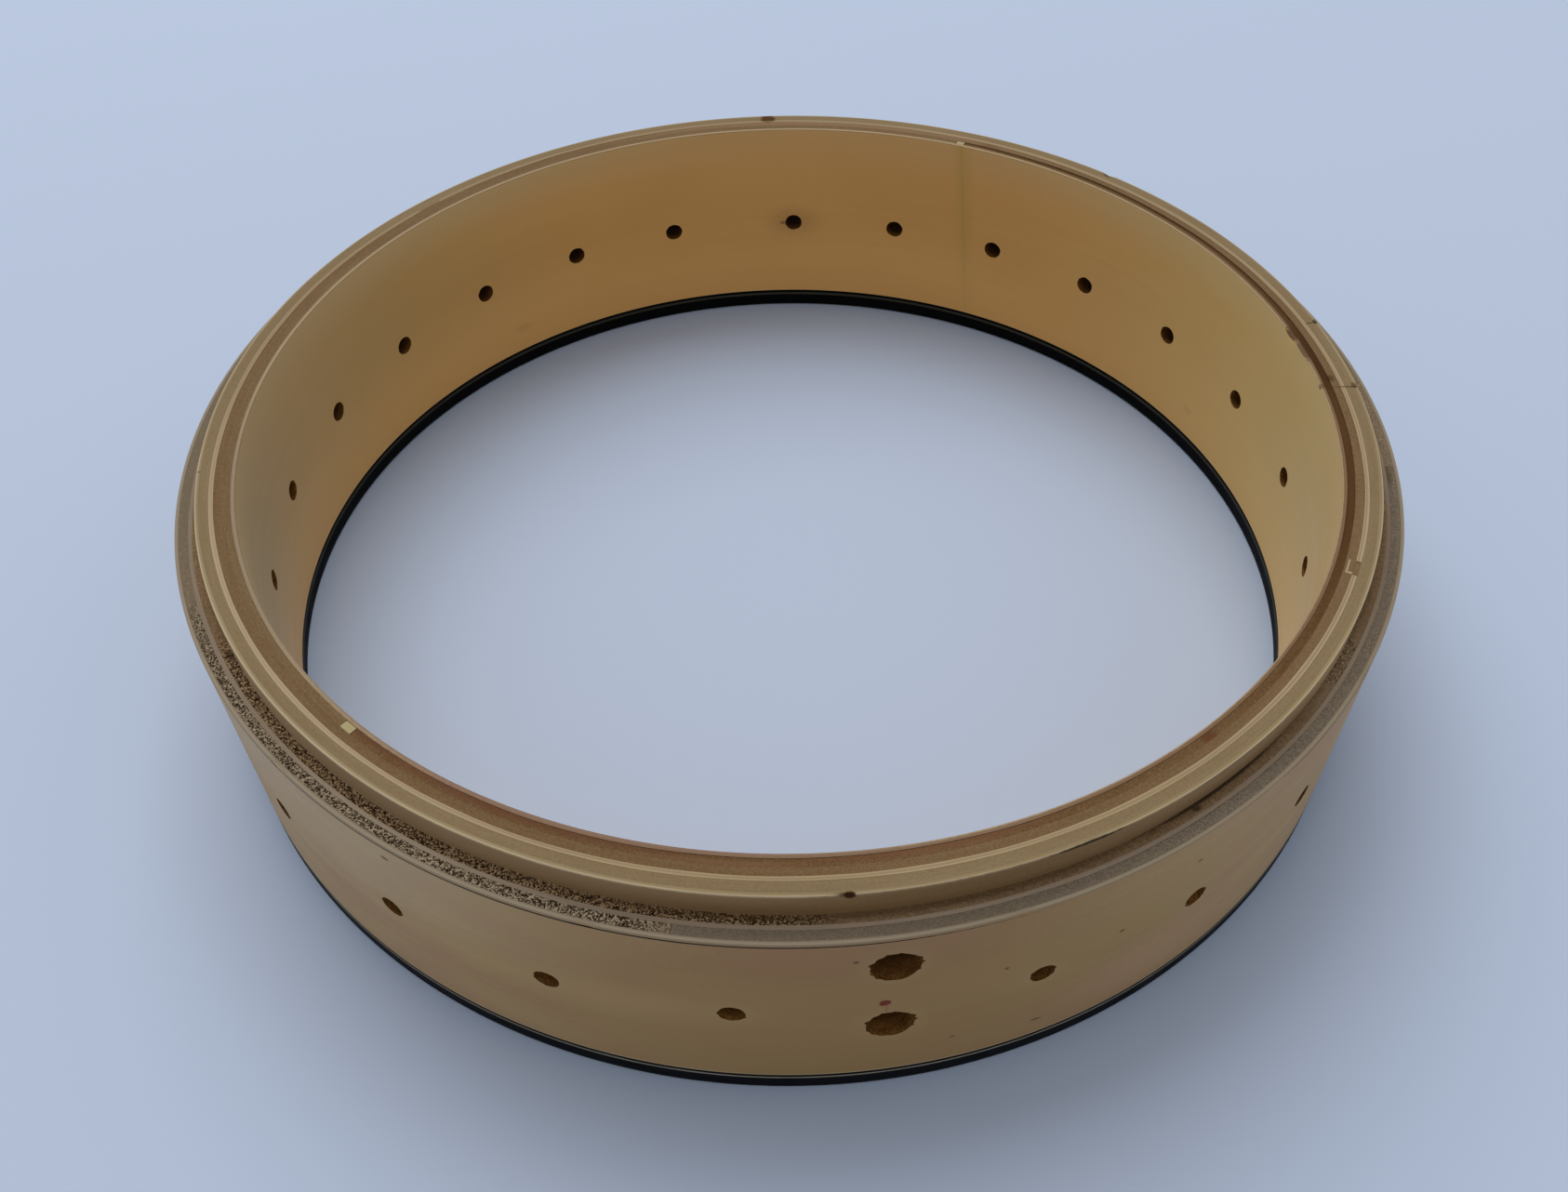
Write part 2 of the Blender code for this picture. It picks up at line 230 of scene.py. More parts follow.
class Board:
    """A node tree with short calls that add nodes and wire them."""

    def __init__(self, tree: bpy.types.NodeTree) -> None:
        """Keeps the tree that nodes go into."""
        self.tree = tree

    def wire(self, source: object, target: Socket) -> None:
        """Links a socket to a target, or sets the target to a plain value.

        Args:
            source: A socket, a number or a tuple.
            target: The input that receives it.
        """
        if isinstance(source, Socket):
            self.tree.links.new(source, target)
        else:
            target.default_value = (*source, 1.0) if target.type == "RGBA" else source

    def node(self, kind: str, *terms: object, **settings: object) -> Node:
        """Adds a node, sets its properties and fills its inputs in order.

        Args:
            kind: The node's type name.
            *terms: What the first inputs receive, with None to leave one as it is.
            **settings: Properties of the node by name.

        Returns:
            The new node.
        """
        made = self.tree.nodes.new(kind)
        for key, value in settings.items():
            setattr(made, key, value)
        for term, target in zip(terms, made.inputs):
            if term is not None:
                self.wire(term, target)
        return made

    def math(self, operation: str, *terms: object) -> Socket:
        """Gives the result of a Math node."""
        return self.node("ShaderNodeMath", *terms, operation=operation).outputs[0]

    def times(self, first: object, second: object) -> Socket:
        """Multiplies two numbers."""
        return self.math("MULTIPLY", first, second)

    def vector(self, operation: str, *terms: object) -> Node:
        """Adds a Vector Math node."""
        return self.node("ShaderNodeVectorMath", *terms, operation=operation)

    def stretched(self, place: Socket, upward: float) -> Socket:
        """Scales a place along the hoop's axis alone."""
        return self.vector("MULTIPLY", place, (1.0, 1.0, upward)).outputs[0]

    def joined(self, *parts: object) -> Socket:
        """Makes a vector of up to three numbers."""
        return self.node("ShaderNodeCombineXYZ", *parts).outputs[0]

    def length(self, *parts: object) -> Socket:
        """Gives the length of the vector that some numbers make."""
        return self.vector("LENGTH", self.joined(*parts)).outputs["Value"]

    def blend(self, share: object, low: object, high: object) -> Socket:
        """Mixes two colours by the share of the second, past the node's five inputs for other types."""
        return self.node("ShaderNodeMix", share, *[None] * 5, low, high, data_type="RGBA").outputs[2]

    def noise(self, place: Socket, scale: object, detail: float, rough: float) -> Socket:
        """Gives noise around 0.5, with finer layers of the given number and strength."""
        return self.node("ShaderNodeTexNoise", place, None, scale, detail, rough).outputs[0]

    def spread(self, value: Socket, low: object, high: object, *results: float) -> Socket:
        """Maps a value smoothly from a range to two results, or to 0 and 1."""
        terms = (value, low, high, *(results or (0.0, 1.0)))
        return self.node("ShaderNodeMapRange", *terms, interpolation_type="SMOOTHSTEP").outputs[0]


class GroupBoard(Board):
    """The tree of a shared group, which takes a place and numbers and gives values."""

    def __init__(self, effect: Effect, numbers: dict[str, float], results: Iterable[str]) -> None:
        """Makes the group with its sockets.

        Args:
            effect: Which group it is.
            numbers: The default of each number that it takes, by name.
            results: The names of the values that it gives.
        """
        super().__init__(bpy.data.node_groups.new(effect.value, "ShaderNodeTree"))
        sockets = self.tree.interface
        sockets.new_socket("Place", in_out="INPUT", socket_type="NodeSocketVector")
        for name, default in numbers.items():
            number = sockets.new_socket(name, in_out="INPUT", socket_type="NodeSocketFloat")
            number.default_value = default
        for name in results:
            sockets.new_socket(name, in_out="OUTPUT", socket_type="NodeSocketFloat")
        self.given = {socket.name: socket for socket in self.node("NodeGroupInput").outputs}
        self.end = self.node("NodeGroupOutput")

    def give(self, **results: Socket) -> None:
        """Wires results to the group's outputs by name."""
        for name, result in results.items():
            self.wire(result, self.end.inputs[name])

    def fineness(self, name: str) -> Socket:
        """Gives the scale of noise whose features have a given size in millimetres."""
        return self.math("DIVIDE", PER_METRE, self.given[name])


class SharedGroups:
    """Builds the shared groups, each of them once."""

    PATCH_NUMBERS = {
        "Angle": 0.0, "Radius": 130.0, "Height": 60.0, "Arc": 1.0, "Depth": 1.0, "Rise": 1.0,
        "Ragged": 0.5, "Softness": 0.3, "Lean": 0.0,
    }

    def __init__(self) -> None:
        """Builds every group."""
        for build in (self._fibres, self._pores, self._patch, self._clouds):
            build()

    def _fibres(self) -> None:
        """Builds the group that draws long fibres round the hoop."""
        board = GroupBoard(Effect.FIBRES, {"Length": 60.0, "Width": 0.8}, ("Streak", "Fine"))
        parts = board.node("ShaderNodeSeparateXYZ", board.given["Place"]).outputs
        across = board.math("ADD", board.length(parts[0], parts[1]), parts[2])
        along = board.fineness("Length")
        sides = [board.times(part, along) for part in parts[:2]]
        laid = board.joined(*sides, board.times(across, board.fineness("Width")))
        coarse = board.noise(laid, 0.35, 3.0, 0.6)
        fine = board.noise(laid, 1.6, 2.0, 0.6)
        both = board.math("ADD", board.times(coarse, 0.6), board.times(fine, 0.4))
        board.give(Streak=board.spread(both, 0.36, 0.64), Fine=board.spread(fine, 0.35, 0.7))

    def _pores(self) -> None:
        """Builds the group that draws the cut ends of upright fibres."""
        board = GroupBoard(Effect.PORES, {"Size": 0.35, "Cover": 0.0}, ("Pore", "Fleck", "Height"))
        drawn = board.stretched(board.given["Place"], 0.12)
        scale = board.fineness("Size")
        body = board.noise(drawn, scale, 2.0, 0.65)
        grit = board.noise(drawn, board.times(scale, 0.37), 1.0, 0.5)
        mixed = board.math("ADD", board.times(body, 0.85), board.times(grit, 0.15))
        pore = board.spread(board.math("SUBTRACT", mixed, board.given["Cover"]), 0.42, 0.49, 1.0, 0.0)
        board.give(Pore=pore, Fleck=board.spread(mixed, 0.53, 0.59), Height=mixed)

    def _patch(self) -> None:
        """Builds the group that masks one soft-edged place on the hoop."""
        board = GroupBoard(Effect.PATCH, self.PATCH_NUMBERS, ("Mask",))
        given = board.given
        terms = (given["Place"], None, None, board.times(given["Angle"], -math.pi / 180.0))
        turned = board.node("ShaderNodeVectorRotate", *terms, rotation_type="Z_AXIS")
        parts = board.node("ShaderNodeSeparateXYZ", turned.outputs[0]).outputs
        away = board.math("ARCTAN2", parts[0], board.times(parts[1], -1.0))
        radius = board.times(board.length(parts[0], parts[1]), PER_METRE)
        raised = board.math("SUBTRACT", board.times(parts[2], PER_METRE), given["Height"])
        along = board.math("ADD", board.times(away, radius), board.times(raised, given["Lean"]))
        arc = board.math("DIVIDE", along, given["Arc"])
        depth = board.math("DIVIDE", board.math("SUBTRACT", radius, given["Radius"]), given["Depth"])
        reach = board.length(arc, depth, board.math("DIVIDE", raised, given["Rise"]))
        wobble = board.math("SUBTRACT", board.noise(given["Place"], 900.0, 2.0, 0.6), 0.5)
        reach = board.math("ADD", reach, board.times(wobble, given["Ragged"]))
        ends = [board.math(way, 1.0, given["Softness"]) for way in ("SUBTRACT", "ADD")]
        board.give(Mask=board.spread(reach, *ends, 1.0, 0.0))

    def _clouds(self) -> None:
        """Builds the group for slow changes of tone over a surface."""
        board = GroupBoard(Effect.CLOUDS, {"Size": 40.0}, ("Cloud", "Smudge"))
        scale = board.fineness("Size")
        flat = board.stretched(board.given["Place"], 2.8)
        slow = board.noise(flat, scale, 2.0, 0.5)
        quick = board.noise(flat, board.times(scale, 1.9), 3.0, 0.5)
        board.give(Cloud=board.spread(slow, 0.35, 0.65), Smudge=board.spread(quick, 0.38, 0.68))


class Coating(Board):
    """The material of one finish, with its shader and the piece's own coordinates."""

    def __init__(self, finish: WoodFinish | BindingFinish) -> None:
        """Makes the material of a finish."""
        self.material = bpy.data.materials.new(finish.name)
        self.material.use_nodes = True
        super().__init__(self.material.node_tree)
        self.finish = finish
        self.shader = self.tree.nodes["Principled BSDF"]
        self.place = self.node("ShaderNodeTexCoord").outputs["Object"]
        if isinstance(finish, WoodFinish):
            self._wood()
        else:
            self._binding()

    def effect(self, effect: Effect, **values: float) -> dict[str, Socket]:
        """Puts a shared group into the material with its own values.

        Args:
            effect: The group.
            **values: Input values by name.

        Returns:
            The group's outputs by name.
        """
        made = self.node("ShaderNodeGroup", node_tree=bpy.data.node_groups[effect.value])
        for name, value in {"Place": self.place, **values}.items():
            self.wire(value, made.inputs[name])
        return {socket.name: socket for socket in made.outputs}

    def mask(self, patch: Patch) -> Socket:
        """Gives the mask of one patch, times its strength."""
        values = {name: getattr(patch, name.lower()) for name in SharedGroups.PATCH_NUMBERS}
        return self.times(self.effect(Effect.PATCH, **values)["Mask"], patch.strength)

    def patched(self, colour: Socket, shine: float = 0.0) -> tuple[Socket, Socket | float]:
        """Lays the patches over a colour, and takes the lacquer off the bare ones.

        Args:
            colour: The colour under the patches.
            shine: How much lacquer lies on it.

        Returns:
            The patched colour and lacquer.
        """
        for patch in self.finish.patches:
            mask = self.mask(patch)
            colour = self.blend(mask, colour, tone(*patch.colour))
            if patch.bare:
                shine = self.times(shine, self.math("SUBTRACT", 1.0, mask))
        return colour, shine

    def torn_share(self) -> Socket | float:
        """Gives how torn the grain is: 1 in the finish's torn arcs and less outside.

        Returns:
            A mask, or 1 where the finish has no such arcs.
        """
        share: Socket | float = 0.25
        for start, end in self.finish.torn_arcs:
            place = ((start + end) / 2, LEDGE_MIDDLE, LEDGE_HEIGHT)
            reach = (math.radians(end - start) / 2 * LEDGE_MIDDLE, WHOLE, WHOLE)
            share = self.math("MAXIMUM", share, self.mask(Patch(*place, *reach, NEAR_BLACK, 1.0, 0.08, 0.1)))
        return share if self.finish.torn_arcs else 1.0

    def dress(self, height: Socket, strength: float, distance: float, **inputs: object) -> None:
        """Wires the shader's inputs and its bump.

        Args:
            height: The bump's height.
            strength: The bump's strength.
            distance: How far the full height stands out, in millimetres.
            **inputs: What the shader's inputs receive, with _ for a space.
        """
        bump = self.node("ShaderNodeBump", strength, distance * MM)
        self.wire(height, bump.inputs["Height"])
        for name, value in {"Normal": bump.outputs[0], **inputs}.items():
            self.wire(value, self.shader.inputs[name.replace("_", " ")])

    def _wood(self) -> None:
        """Builds the nodes of a wooden finish."""
        finish = self.finish
        fibres = self.effect(Effect.FIBRES, Length=finish.fibre_length, Width=finish.fibre_width)
        clouds = self.effect(Effect.CLOUDS, Size=45.0)
        colour = self.blend(self.times(fibres["Streak"], finish.streaks), finish.pale, finish.dark)
        colour = self.blend(self.times(clouds["Cloud"], 0.22), colour, finish.dark)
        if finish.tinted:
            colour = self.blend(self.times(clouds["Smudge"], finish.tinted), colour, finish.tint)
        height = self.times(fibres["Fine"], 0.5)
        rough = self.spread(fibres["Streak"], 0.0, 1.0, finish.roughness, finish.roughness + 0.08)
        if finish.grain in (Grain.END, Grain.TORN):
            cover = 0.035 if finish.grain is Grain.TORN else 0.0
            pores = self.effect(Effect.PORES, Size=finish.pore_size, Cover=cover)
            share = self.torn_share()
            depth = self.times(self.times(pores["Pore"], finish.pores), share)
            colour = self.blend(depth, colour, finish.pore_colour)
            fleck = self.times(pores["Fleck"], self.times(share, finish.pores))
            colour = self.blend(self.times(fleck, finish.flecks), colour, finish.fleck_colour)
            height = self.times(pores["Height"], share)
        colour, shine = self.patched(colour, finish.coat)
        gloss = 0.14 if finish.grain is Grain.FACE else 0.05
        self.dress(
            height, 0.7, finish.bump, Base_Color=colour, Roughness=rough, Coat_Weight=shine,
            Coat_Roughness=0.22, Specular_IOR_Level=gloss,
        )

    def _binding(self) -> None:
        """Builds the nodes of a plastic binding with faint scuffs along the hoop."""
        finish = self.finish
        scrape = self.effect(Effect.FIBRES, Length=18.0, Width=0.35)
        clouds = self.effect(Effect.CLOUDS, Size=16.0)
        worn = self.times(scrape["Fine"], clouds["Smudge"])
        colour = self.blend(self.times(worn, 0.55), finish.colour, finish.scuff)
        rough = self.spread(worn, 0.0, 1.0, finish.roughness, finish.roughness + 0.3)
        colour = self.patched(colour)[0]
        self.dress(worn, 0.4, 0.03, Base_Color=colour, Roughness=rough, Specular_IOR_Level=0.06)


class FinishRoom:
    """Turns finishes into materials, and keeps each one for the next piece."""

    def __init__(self) -> None:
        """Builds the shared groups and an empty shelf of materials."""
        SharedGroups()
        self.shelf: dict[str, bpy.types.Material] = {}

    def material(self, finish: WoodFinish | BindingFinish) -> bpy.types.Material:
        """Gives the material of a finish, which is built the first time."""
        if finish.name not in self.shelf:
            self.shelf[finish.name] = Coating(finish).material
        return self.shelf[finish.name]


@dataclass(frozen=True)
class WallSizes:
    """Where the layers meet across the wall and how high they stand."""

    veneer_in: float = INSIDE
    brown_in: float = 126.0
    middle_in: float = 127.75
    long_in: float = 129.6
    tan_in: float = 130.6
    edge_in: float = 132.75
    step: float = 133.6
    pale_in: float = 135.7
    grey_in: float = 136.6
    skin_in: float = 138.6
    outside: float = field(default_factory=lambda: reach_of_box("outer_face_veneer"))
    wood_bottom: float = 5.5
    white_top: float = 4.6
    cap_top: float = 3.8
    glue: float = 0.02

    def wander(self, radius: float, angle: float) -> float:
        """Gives how far the boundary between two layers strays from its circle.

        Args:
            radius: A radius at the boundary.
            angle: Angle round the hoop.

        Returns:
            The stray in millimetres, which is 0 for the machined faces.
        """
        glued = (
            self.brown_in, self.middle_in, self.long_in, self.tan_in, self.edge_in, self.pale_in,
            self.grey_in, self.skin_in,
        )
        machined = (self.veneer_in, self.step, self.outside)
        boundary = min(glued + machined, key=lambda mark: abs(mark - radius))
        if boundary in machined:
            return 0.0
        turn = math.radians(angle)
        phase = boundary * 7.3
        slow = math.sin(3 * turn + phase) + 0.7 * math.sin(8 * turn + 1.7 * phase)
        quick = 0.45 * math.sin(19 * turn + 2.9 * phase) + 0.3 * math.sin(37 * turn + 4.1 * phase)
        return 0.055 * (slow + quick)


@dataclass
class Layer:
    """The shape of one strip or ring of the wall, with what happens to its edges and its top."""

    inner: float
    outer: float
    bottom: float
    top: float
    start: float | None = None
    end: float | None = None
    slant: float = 0.0
    gap: float = 0.12
    fineness: int = 1
    rows: int = 3
    eased: dict[str, float] = field(default_factory=dict)
    rough: float = 0.0
    torn_arcs: tuple[Span, ...] = ()
    dents: tuple[Dent, ...] = ()
    collars: tuple[float, ...] = (0.7, 2.2)

    @property
    def closed(self) -> bool:
        """Whether the layer runs all the way round."""
        return self.start is None

    def section(self) -> Shape:
        """Draws the layer's section as a wire in the XZ plane.

        Returns:
            A bmesh that holds the wire.
        """
        builder = bmesh.new()
        bmesh.ops.create_grid(builder, x_segments=1, y_segments=1, size=0.5)
        middle = Vector(((self.inner + self.outer) / 2, 0.0, (self.bottom + self.top) / 2))
        size = Matrix.Diagonal((self.outer - self.inner, self.top - self.bottom, 1.0, 1.0))
        upright = Matrix.Rotation(math.pi / 2, 4, "X")
        place = Matrix.Translation(middle) @ upright @ size
        bmesh.ops.transform(builder, matrix=Matrix.Scale(MM, 4) @ place, verts=builder.verts)
        corners = {self._corner(v): v for v in builder.verts}
        for corner, width in self.eased.items():
            bmesh.ops.bevel(
                builder, geom=[corners[corner]], offset=width * MM, segments=3, profile=0.5,
                affect="VERTICES", material=-1,
            )
        if self.rows > 1:
            top = [e for e in builder.edges if all(v.co.z > (self.top - 0.01) * MM for v in e.verts)]
            bmesh.ops.subdivide_edges(builder, edges=top, cuts=self.rows - 1)
        bmesh.ops.delete(builder, geom=builder.faces[:], context="FACES_ONLY")
        for below in self.collars:
            cut = (0.0, 0.0, (self.top - below) * MM)
            wire = builder.verts[:] + builder.edges[:]
            bmesh.ops.bisect_plane(builder, geom=wire, plane_co=cut, plane_no=UP)
        return builder

    def _corner(self, vertex: bmesh.types.BMVert) -> str:
        """Names the corner of the section where a vertex lies."""
        side = "outer" if vertex.co.x > (self.inner + self.outer) / 2 * MM else "inner"
        return side + ("_top" if vertex.co.z > (self.bottom + self.top) / 2 * MM else "_bottom")

    def turned(self) -> Shape:
        """Sweeps the section round the hoop and closes its ends.

        Returns:
            The swept shape.
        """
        builder = self.section()
        gap = math.degrees(self.gap / 2 / self.outer)
        start = -FULL_TURN / 2 if self.closed else self.start + gap
        arc = FULL_TURN if self.closed else self.end - self.start - 2 * gap
        steps = max(3, math.ceil(math.radians(arc) * self.outer / SWEEP_STEP))
        first = Matrix.Rotation(math.radians(start - 90.0), 4, "Z")
        bmesh.ops.transform(builder, matrix=first, verts=builder.verts)
        bmesh.ops.spin(
            builder, geom=builder.verts[:] + builder.edges[:], cent=ORIGIN, axis=UP,
            angle=math.radians(arc), steps=steps, use_merge=self.closed,
        )
        if self.fineness > 1:
            along = [edge for edge in builder.edges if abs(self._turn_of(edge)) > 0.001]
            bmesh.ops.subdivide_edges(builder, edges=along, cuts=self.fineness - 1, use_grid_fill=True)
        if self.closed:
            bmesh.ops.remove_doubles(builder, verts=builder.verts, dist=0.001 * MM)
        else:
            rims = [edge for edge in builder.edges if edge.is_boundary]
            bmesh.ops.holes_fill(builder, edges=rims, sides=0)
        bmesh.ops.recalc_face_normals(builder, faces=builder.faces)
        return builder

    @staticmethod
    def _turn_of(edge: bmesh.types.BMEdge) -> float:
        """Gives how far an edge runs round the hoop, in degrees."""
        return turn_between(*[hoop_place(vertex.co)[0] for vertex in edge.verts])

    def tearing(self, angle: float) -> float:
        """Gives how torn the top is at an angle, from 0.2 to 1."""
        depths = [(b - a) / 2 - abs(turn_between(angle, (a + b) / 2)) for a, b in self.torn_arcs]
        return min(1.0, max(0.2, 0.6 + max(depths) * 0.15)) if depths else 1.0

    def shaped(self, sizes: WallSizes) -> Shape:
        """Gives the swept shape its stray boundaries, torn top, slant and dents.

        Args:
            sizes: The wall's sizes.

        Returns:
            The finished shape.
        """
        builder = self.turned()
        middle = 0.0 if self.closed else (self.start + self.end) / 2
        for vertex in builder.verts:
            angle, radius, height = hoop_place(vertex.co)
            angle = middle + turn_between(angle, middle)
            share = min(1.0, max(0.0, (radius - self.inner) / (self.outer - self.inner)))
            if height > self.top - TORN_DEPTH and self.rough and 0.02 < share < 0.98:
                height -= self.rough * self.tearing(angle) * self._grit(vertex.co)
            radius += (1 - share) * sizes.wander(self.inner, angle) + share * sizes.wander(self.outer, angle)
            if self.slant:
                fall = (self.top - height) / (self.top - self.bottom)
                edge = max(0.0, 1.0 - min(abs(angle - self.start), abs(self.end - angle)) / SLANT_REACH)
                angle -= self.slant * fall * edge
            for dent in self.dents:
                pull = dent.pull(angle, radius, height)
                radius += dent.outward * pull
                height += dent.upward * pull
            vertex.co = spot(angle, radius, height)
        return builder

    @staticmethod
    def _grit(point: Vector) -> float:
        """Gives the depth of torn fibres at a point, from 0 to about 1."""
        fine = noise.noise(point / (0.45 * MM))
        coarse = noise.noise(point / (1.1 * MM) + Vector((7.0, 3.0, 1.0)))
        return max(0.0, 0.5 + 0.55 * fine + 0.3 * coarse)


def into_scene(name: str, builder: Shape, material: bpy.types.Material) -> Piece:
    """Makes a smooth-shaded object of a shape.

    Args:
        name: The object's name.
        builder: The shape, which is freed.
        material: Its material.

    Returns:
        The object.
    """
    mesh = bpy.data.meshes.new(name)
    builder.to_mesh(mesh)
    builder.free()
    mesh.materials.append(material)
    mesh.shade_smooth()
    mesh.set_sharp_from_angle(angle=SHARP)
    piece = bpy.data.objects.new(name, mesh)
    bpy.context.scene.collection.objects.link(piece)
    return piece


@dataclass
class Bores:
    """The bracket holes and the two neck bolt holes, as one cutter for every wooden layer."""

    bracket_count: int = 24
    bracket_width: float = 5.1
    bracket_height: float = 30.4
    bracket_sides: int = 28
    bracket_tear: float = 0.55
    neck_half_gap: float = 12.0
    tail_half_gap: float = 8.6
    neck_width: float = 9.2
    neck_heights: Span = (24.5, 46.0)
    neck_sides: int = 48
    neck_tear: float = 1.3
    neck_turn: float = 0.001
    inside: float = 122.0
    outside: float = 142.0
    steps: int = 24

    def bracket_angles(self) -> list[float]:
        """Gives the angles of the bracket holes.

        Returns:
            The angles on both sides of the neck.
        """
        per_side = self.bracket_count // 2
        pitch = (FULL_TURN / 2 - self.neck_half_gap - self.tail_half_gap) / (per_side - 1)
        right = [self.neck_half_gap + pitch * step for step in range(per_side)]
        return [-angle for angle in right] + right

    def _bore(
        self, builder: Shape, angle: float, height: float, width: float, sides: int, tear: float
    ) -> None:
        """Adds one bore with a slightly uneven wall and a torn mouth.

        Args:
            builder: The cutter's shape.
            angle: Angle of the bore.
            height: Height of the bore.
            width: Diameter of the bore.
            sides: Number of sides.
            tear: How far the fibres are torn at the mouth.
        """
        outward = spot(angle, 1.0, 0.0).normalized()
        upward = Vector(UP)
        place = Matrix((upward.cross(outward), upward, outward)).transposed().to_4x4()
        middle = (self.inside + self.outside) / 2
        place.translation = spot(angle, middle, height)
        length = (self.outside - self.inside) * MM
        circle = bmesh.ops.create_circle(builder, cap_ends=False, segments=sides, radius=width / 2 * MM)
        ring = circle["verts"]
        bmesh.ops.translate(builder, verts=ring, vec=(0.0, 0.0, -length / 2))
        known = set(builder.verts) - set(ring)
        edges = [edge for edge in builder.edges if edge.verts[0] not in known]
        bmesh.ops.spin(
            builder, geom=ring + edges, cent=ORIGIN, axis=UP, angle=0.0,
            dvec=(0.0, 0.0, length / self.steps), steps=self.steps,
        )
        for vertex in builder.verts:
            if vertex not in known:
                radius = middle + vertex.co.z / MM
                vertex.co = place @ self._worn(vertex.co.copy(), radius, angle, tear)

    @staticmethod
    def _worn(local: Vector, radius: float, angle: float, tear: float) -> Vector:
        """Moves one point of a bore's wall outwards or inwards.

        Args:
            local: The point in the bore's own frame.
            radius: Its distance from the hoop's axis.
            angle: The bore's angle, which changes the pattern.
            tear: How far the mouth is torn.

        Returns:
            The moved point.
        """
        turn = math.atan2(local.y, local.x)
        around = Vector((math.cos(turn), math.sin(turn), 0.0))
        seed = Vector((angle * 0.37, angle * 0.11, 0.0))
        wall = noise.noise(around * 2.2 + seed + Vector((0.0, 0.0, radius * 0.9)))
        fuzz = noise.noise(around * 9.0 + seed + Vector((0.0, 0.0, radius * 2.3)))
        mouth = max(0.0, 1.0 - abs(radius - 139.5) / 1.2) + 0.5 * max(0.0, 1.0 - abs(radius - INSIDE))
        torn = max(0.0, noise.noise(around * 5.0 + seed * 2.0)) * (0.35 + abs(math.cos(turn)) ** 3)
        return local + around * tear * (0.18 * wall + 0.12 * fuzz + mouth * torn) * MM

    def cutter(self, material: bpy.types.Material) -> Piece:
        """Builds the cutter.

        Args:
            material: The finish of the bored walls.

        Returns:
            The cutter object.
        """
        builder = bmesh.new()
        bracket = (self.bracket_height, self.bracket_width, self.bracket_sides, self.bracket_tear)
        for angle in self.bracket_angles():
            self._bore(builder, angle, *bracket)
        for height in self.neck_heights:
            # The tiny turn gives each of the two its own pattern.
            angle = height * self.neck_turn
            self._bore(builder, angle, height, self.neck_width, self.neck_sides, self.neck_tear)
        mouths = [edge for edge in builder.edges if edge.is_boundary]
        bmesh.ops.holes_fill(builder, edges=mouths, sides=0)
        bmesh.ops.recalc_face_normals(builder, faces=builder.faces)
        return into_scene("bore_cutter", builder, material)


@dataclass
class Workshop:
    """What every sub-assembly needs: the sizes, the finishes and the cutter."""

    sizes: WallSizes
    finishes: FinishRoom
    cutter: Piece

    def strip(
        self, name: str, node: str, slot: str, finish: WoodFinish | BindingFinish, span: Span, top: float,
        arc: Span | tuple[None, None] = (None, None), bored: bool = True, **extra: object,
    ) -> None:
        """Builds one strip or ring of the wall, bores it and puts it on the hoop.

        Args:
            name: The piece's name.
            node: The CAD node that it replaces.
            slot: The record's material slot.
            finish: Its finish.
            span: The two boundaries that it fills, less the glue.
            top: The height of its top.
            arc: Its first and last angle, unless it is a closed ring.
            bored: Whether the bores go through it.
            **extra: Further fields of its layer.
        """
        sizes = self.sizes
        inner, outer = span
        if outer < sizes.outside:
            outer -= sizes.glue
        bottom = extra.pop("bottom", sizes.wood_bottom + sizes.glue)
        layer = Layer(inner, outer, bottom, top, *arc, **extra)
        piece = into_scene(name, layer.shaped(sizes), self.finishes.material(finish))
        if bored:
            self._bore(piece)
        self.fit(piece, node, slot)

    def _bore(self, piece: Piece) -> None:
        """Cuts the bores through a piece and keeps the result as its mesh.

        Args:
            piece: The piece.
        """
        tool = piece.modifiers.new("bores", "BOOLEAN")
        tool.operation = "DIFFERENCE"
        tool.solver = "EXACT"
        tool.material_mode = "TRANSFER"
        tool.object = self.cutter
        bpy.context.view_layer.update()
        graph = bpy.context.evaluated_depsgraph_get()
        finished = bpy.data.meshes.new_from_object(piece.evaluated_get(graph))
        finished.name = piece.name
        rough_out = piece.data
        piece.modifiers.clear()
        piece.data = finished
        bpy.data.meshes.remove(rough_out)
        finished.set_sharp_from_angle(angle=SHARP)

    @staticmethod
    def fit(piece: Piece, node: str, slot: str) -> None:
        """Makes a piece stand for its CAD node.

        Args:
            piece: The piece.
            node: The CAD node that it replaces.
            slot: The record's material slot; not used.
        """
        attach(piece, BODY)
        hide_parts(node)
        log.info("%s: %d faces, for %s", piece.name, len(piece.data.polygons), node)


# The near-black of dark lines and marks, how far plies stay under the top, and the knots in several plies.
NEAR_BLACK = (30, 20, 12)
BROWN_DROP = 0.04
SLIGHT_DROP = 0.02
KNOTS = (
    Patch(174.7, 131.6, RIDGE, 2.1, 2.3, 3, (78, 48, 24), 0.95, 0.6, 0.25),
    Patch(-3.3, 133.7, 61.2, 1.35, 0.8, 0.95, (58, 34, 14), 1, 0.6, 0.3),
    Patch(129.3, 132.8, RIDGE, 1.3, 0.8, 1, (84, 64, 42), 0.7, 0.6, 0.4),
    Patch(94.1, 133.1, RIDGE, 0.9, 0.5, 1, (50, 38, 28), 0.8, 0.6, 0.4),
    Patch(83.2, 132.9, RIDGE, 1, 0.7, 1, (96, 70, 44), 0.8, 0.6, 0.4),
)


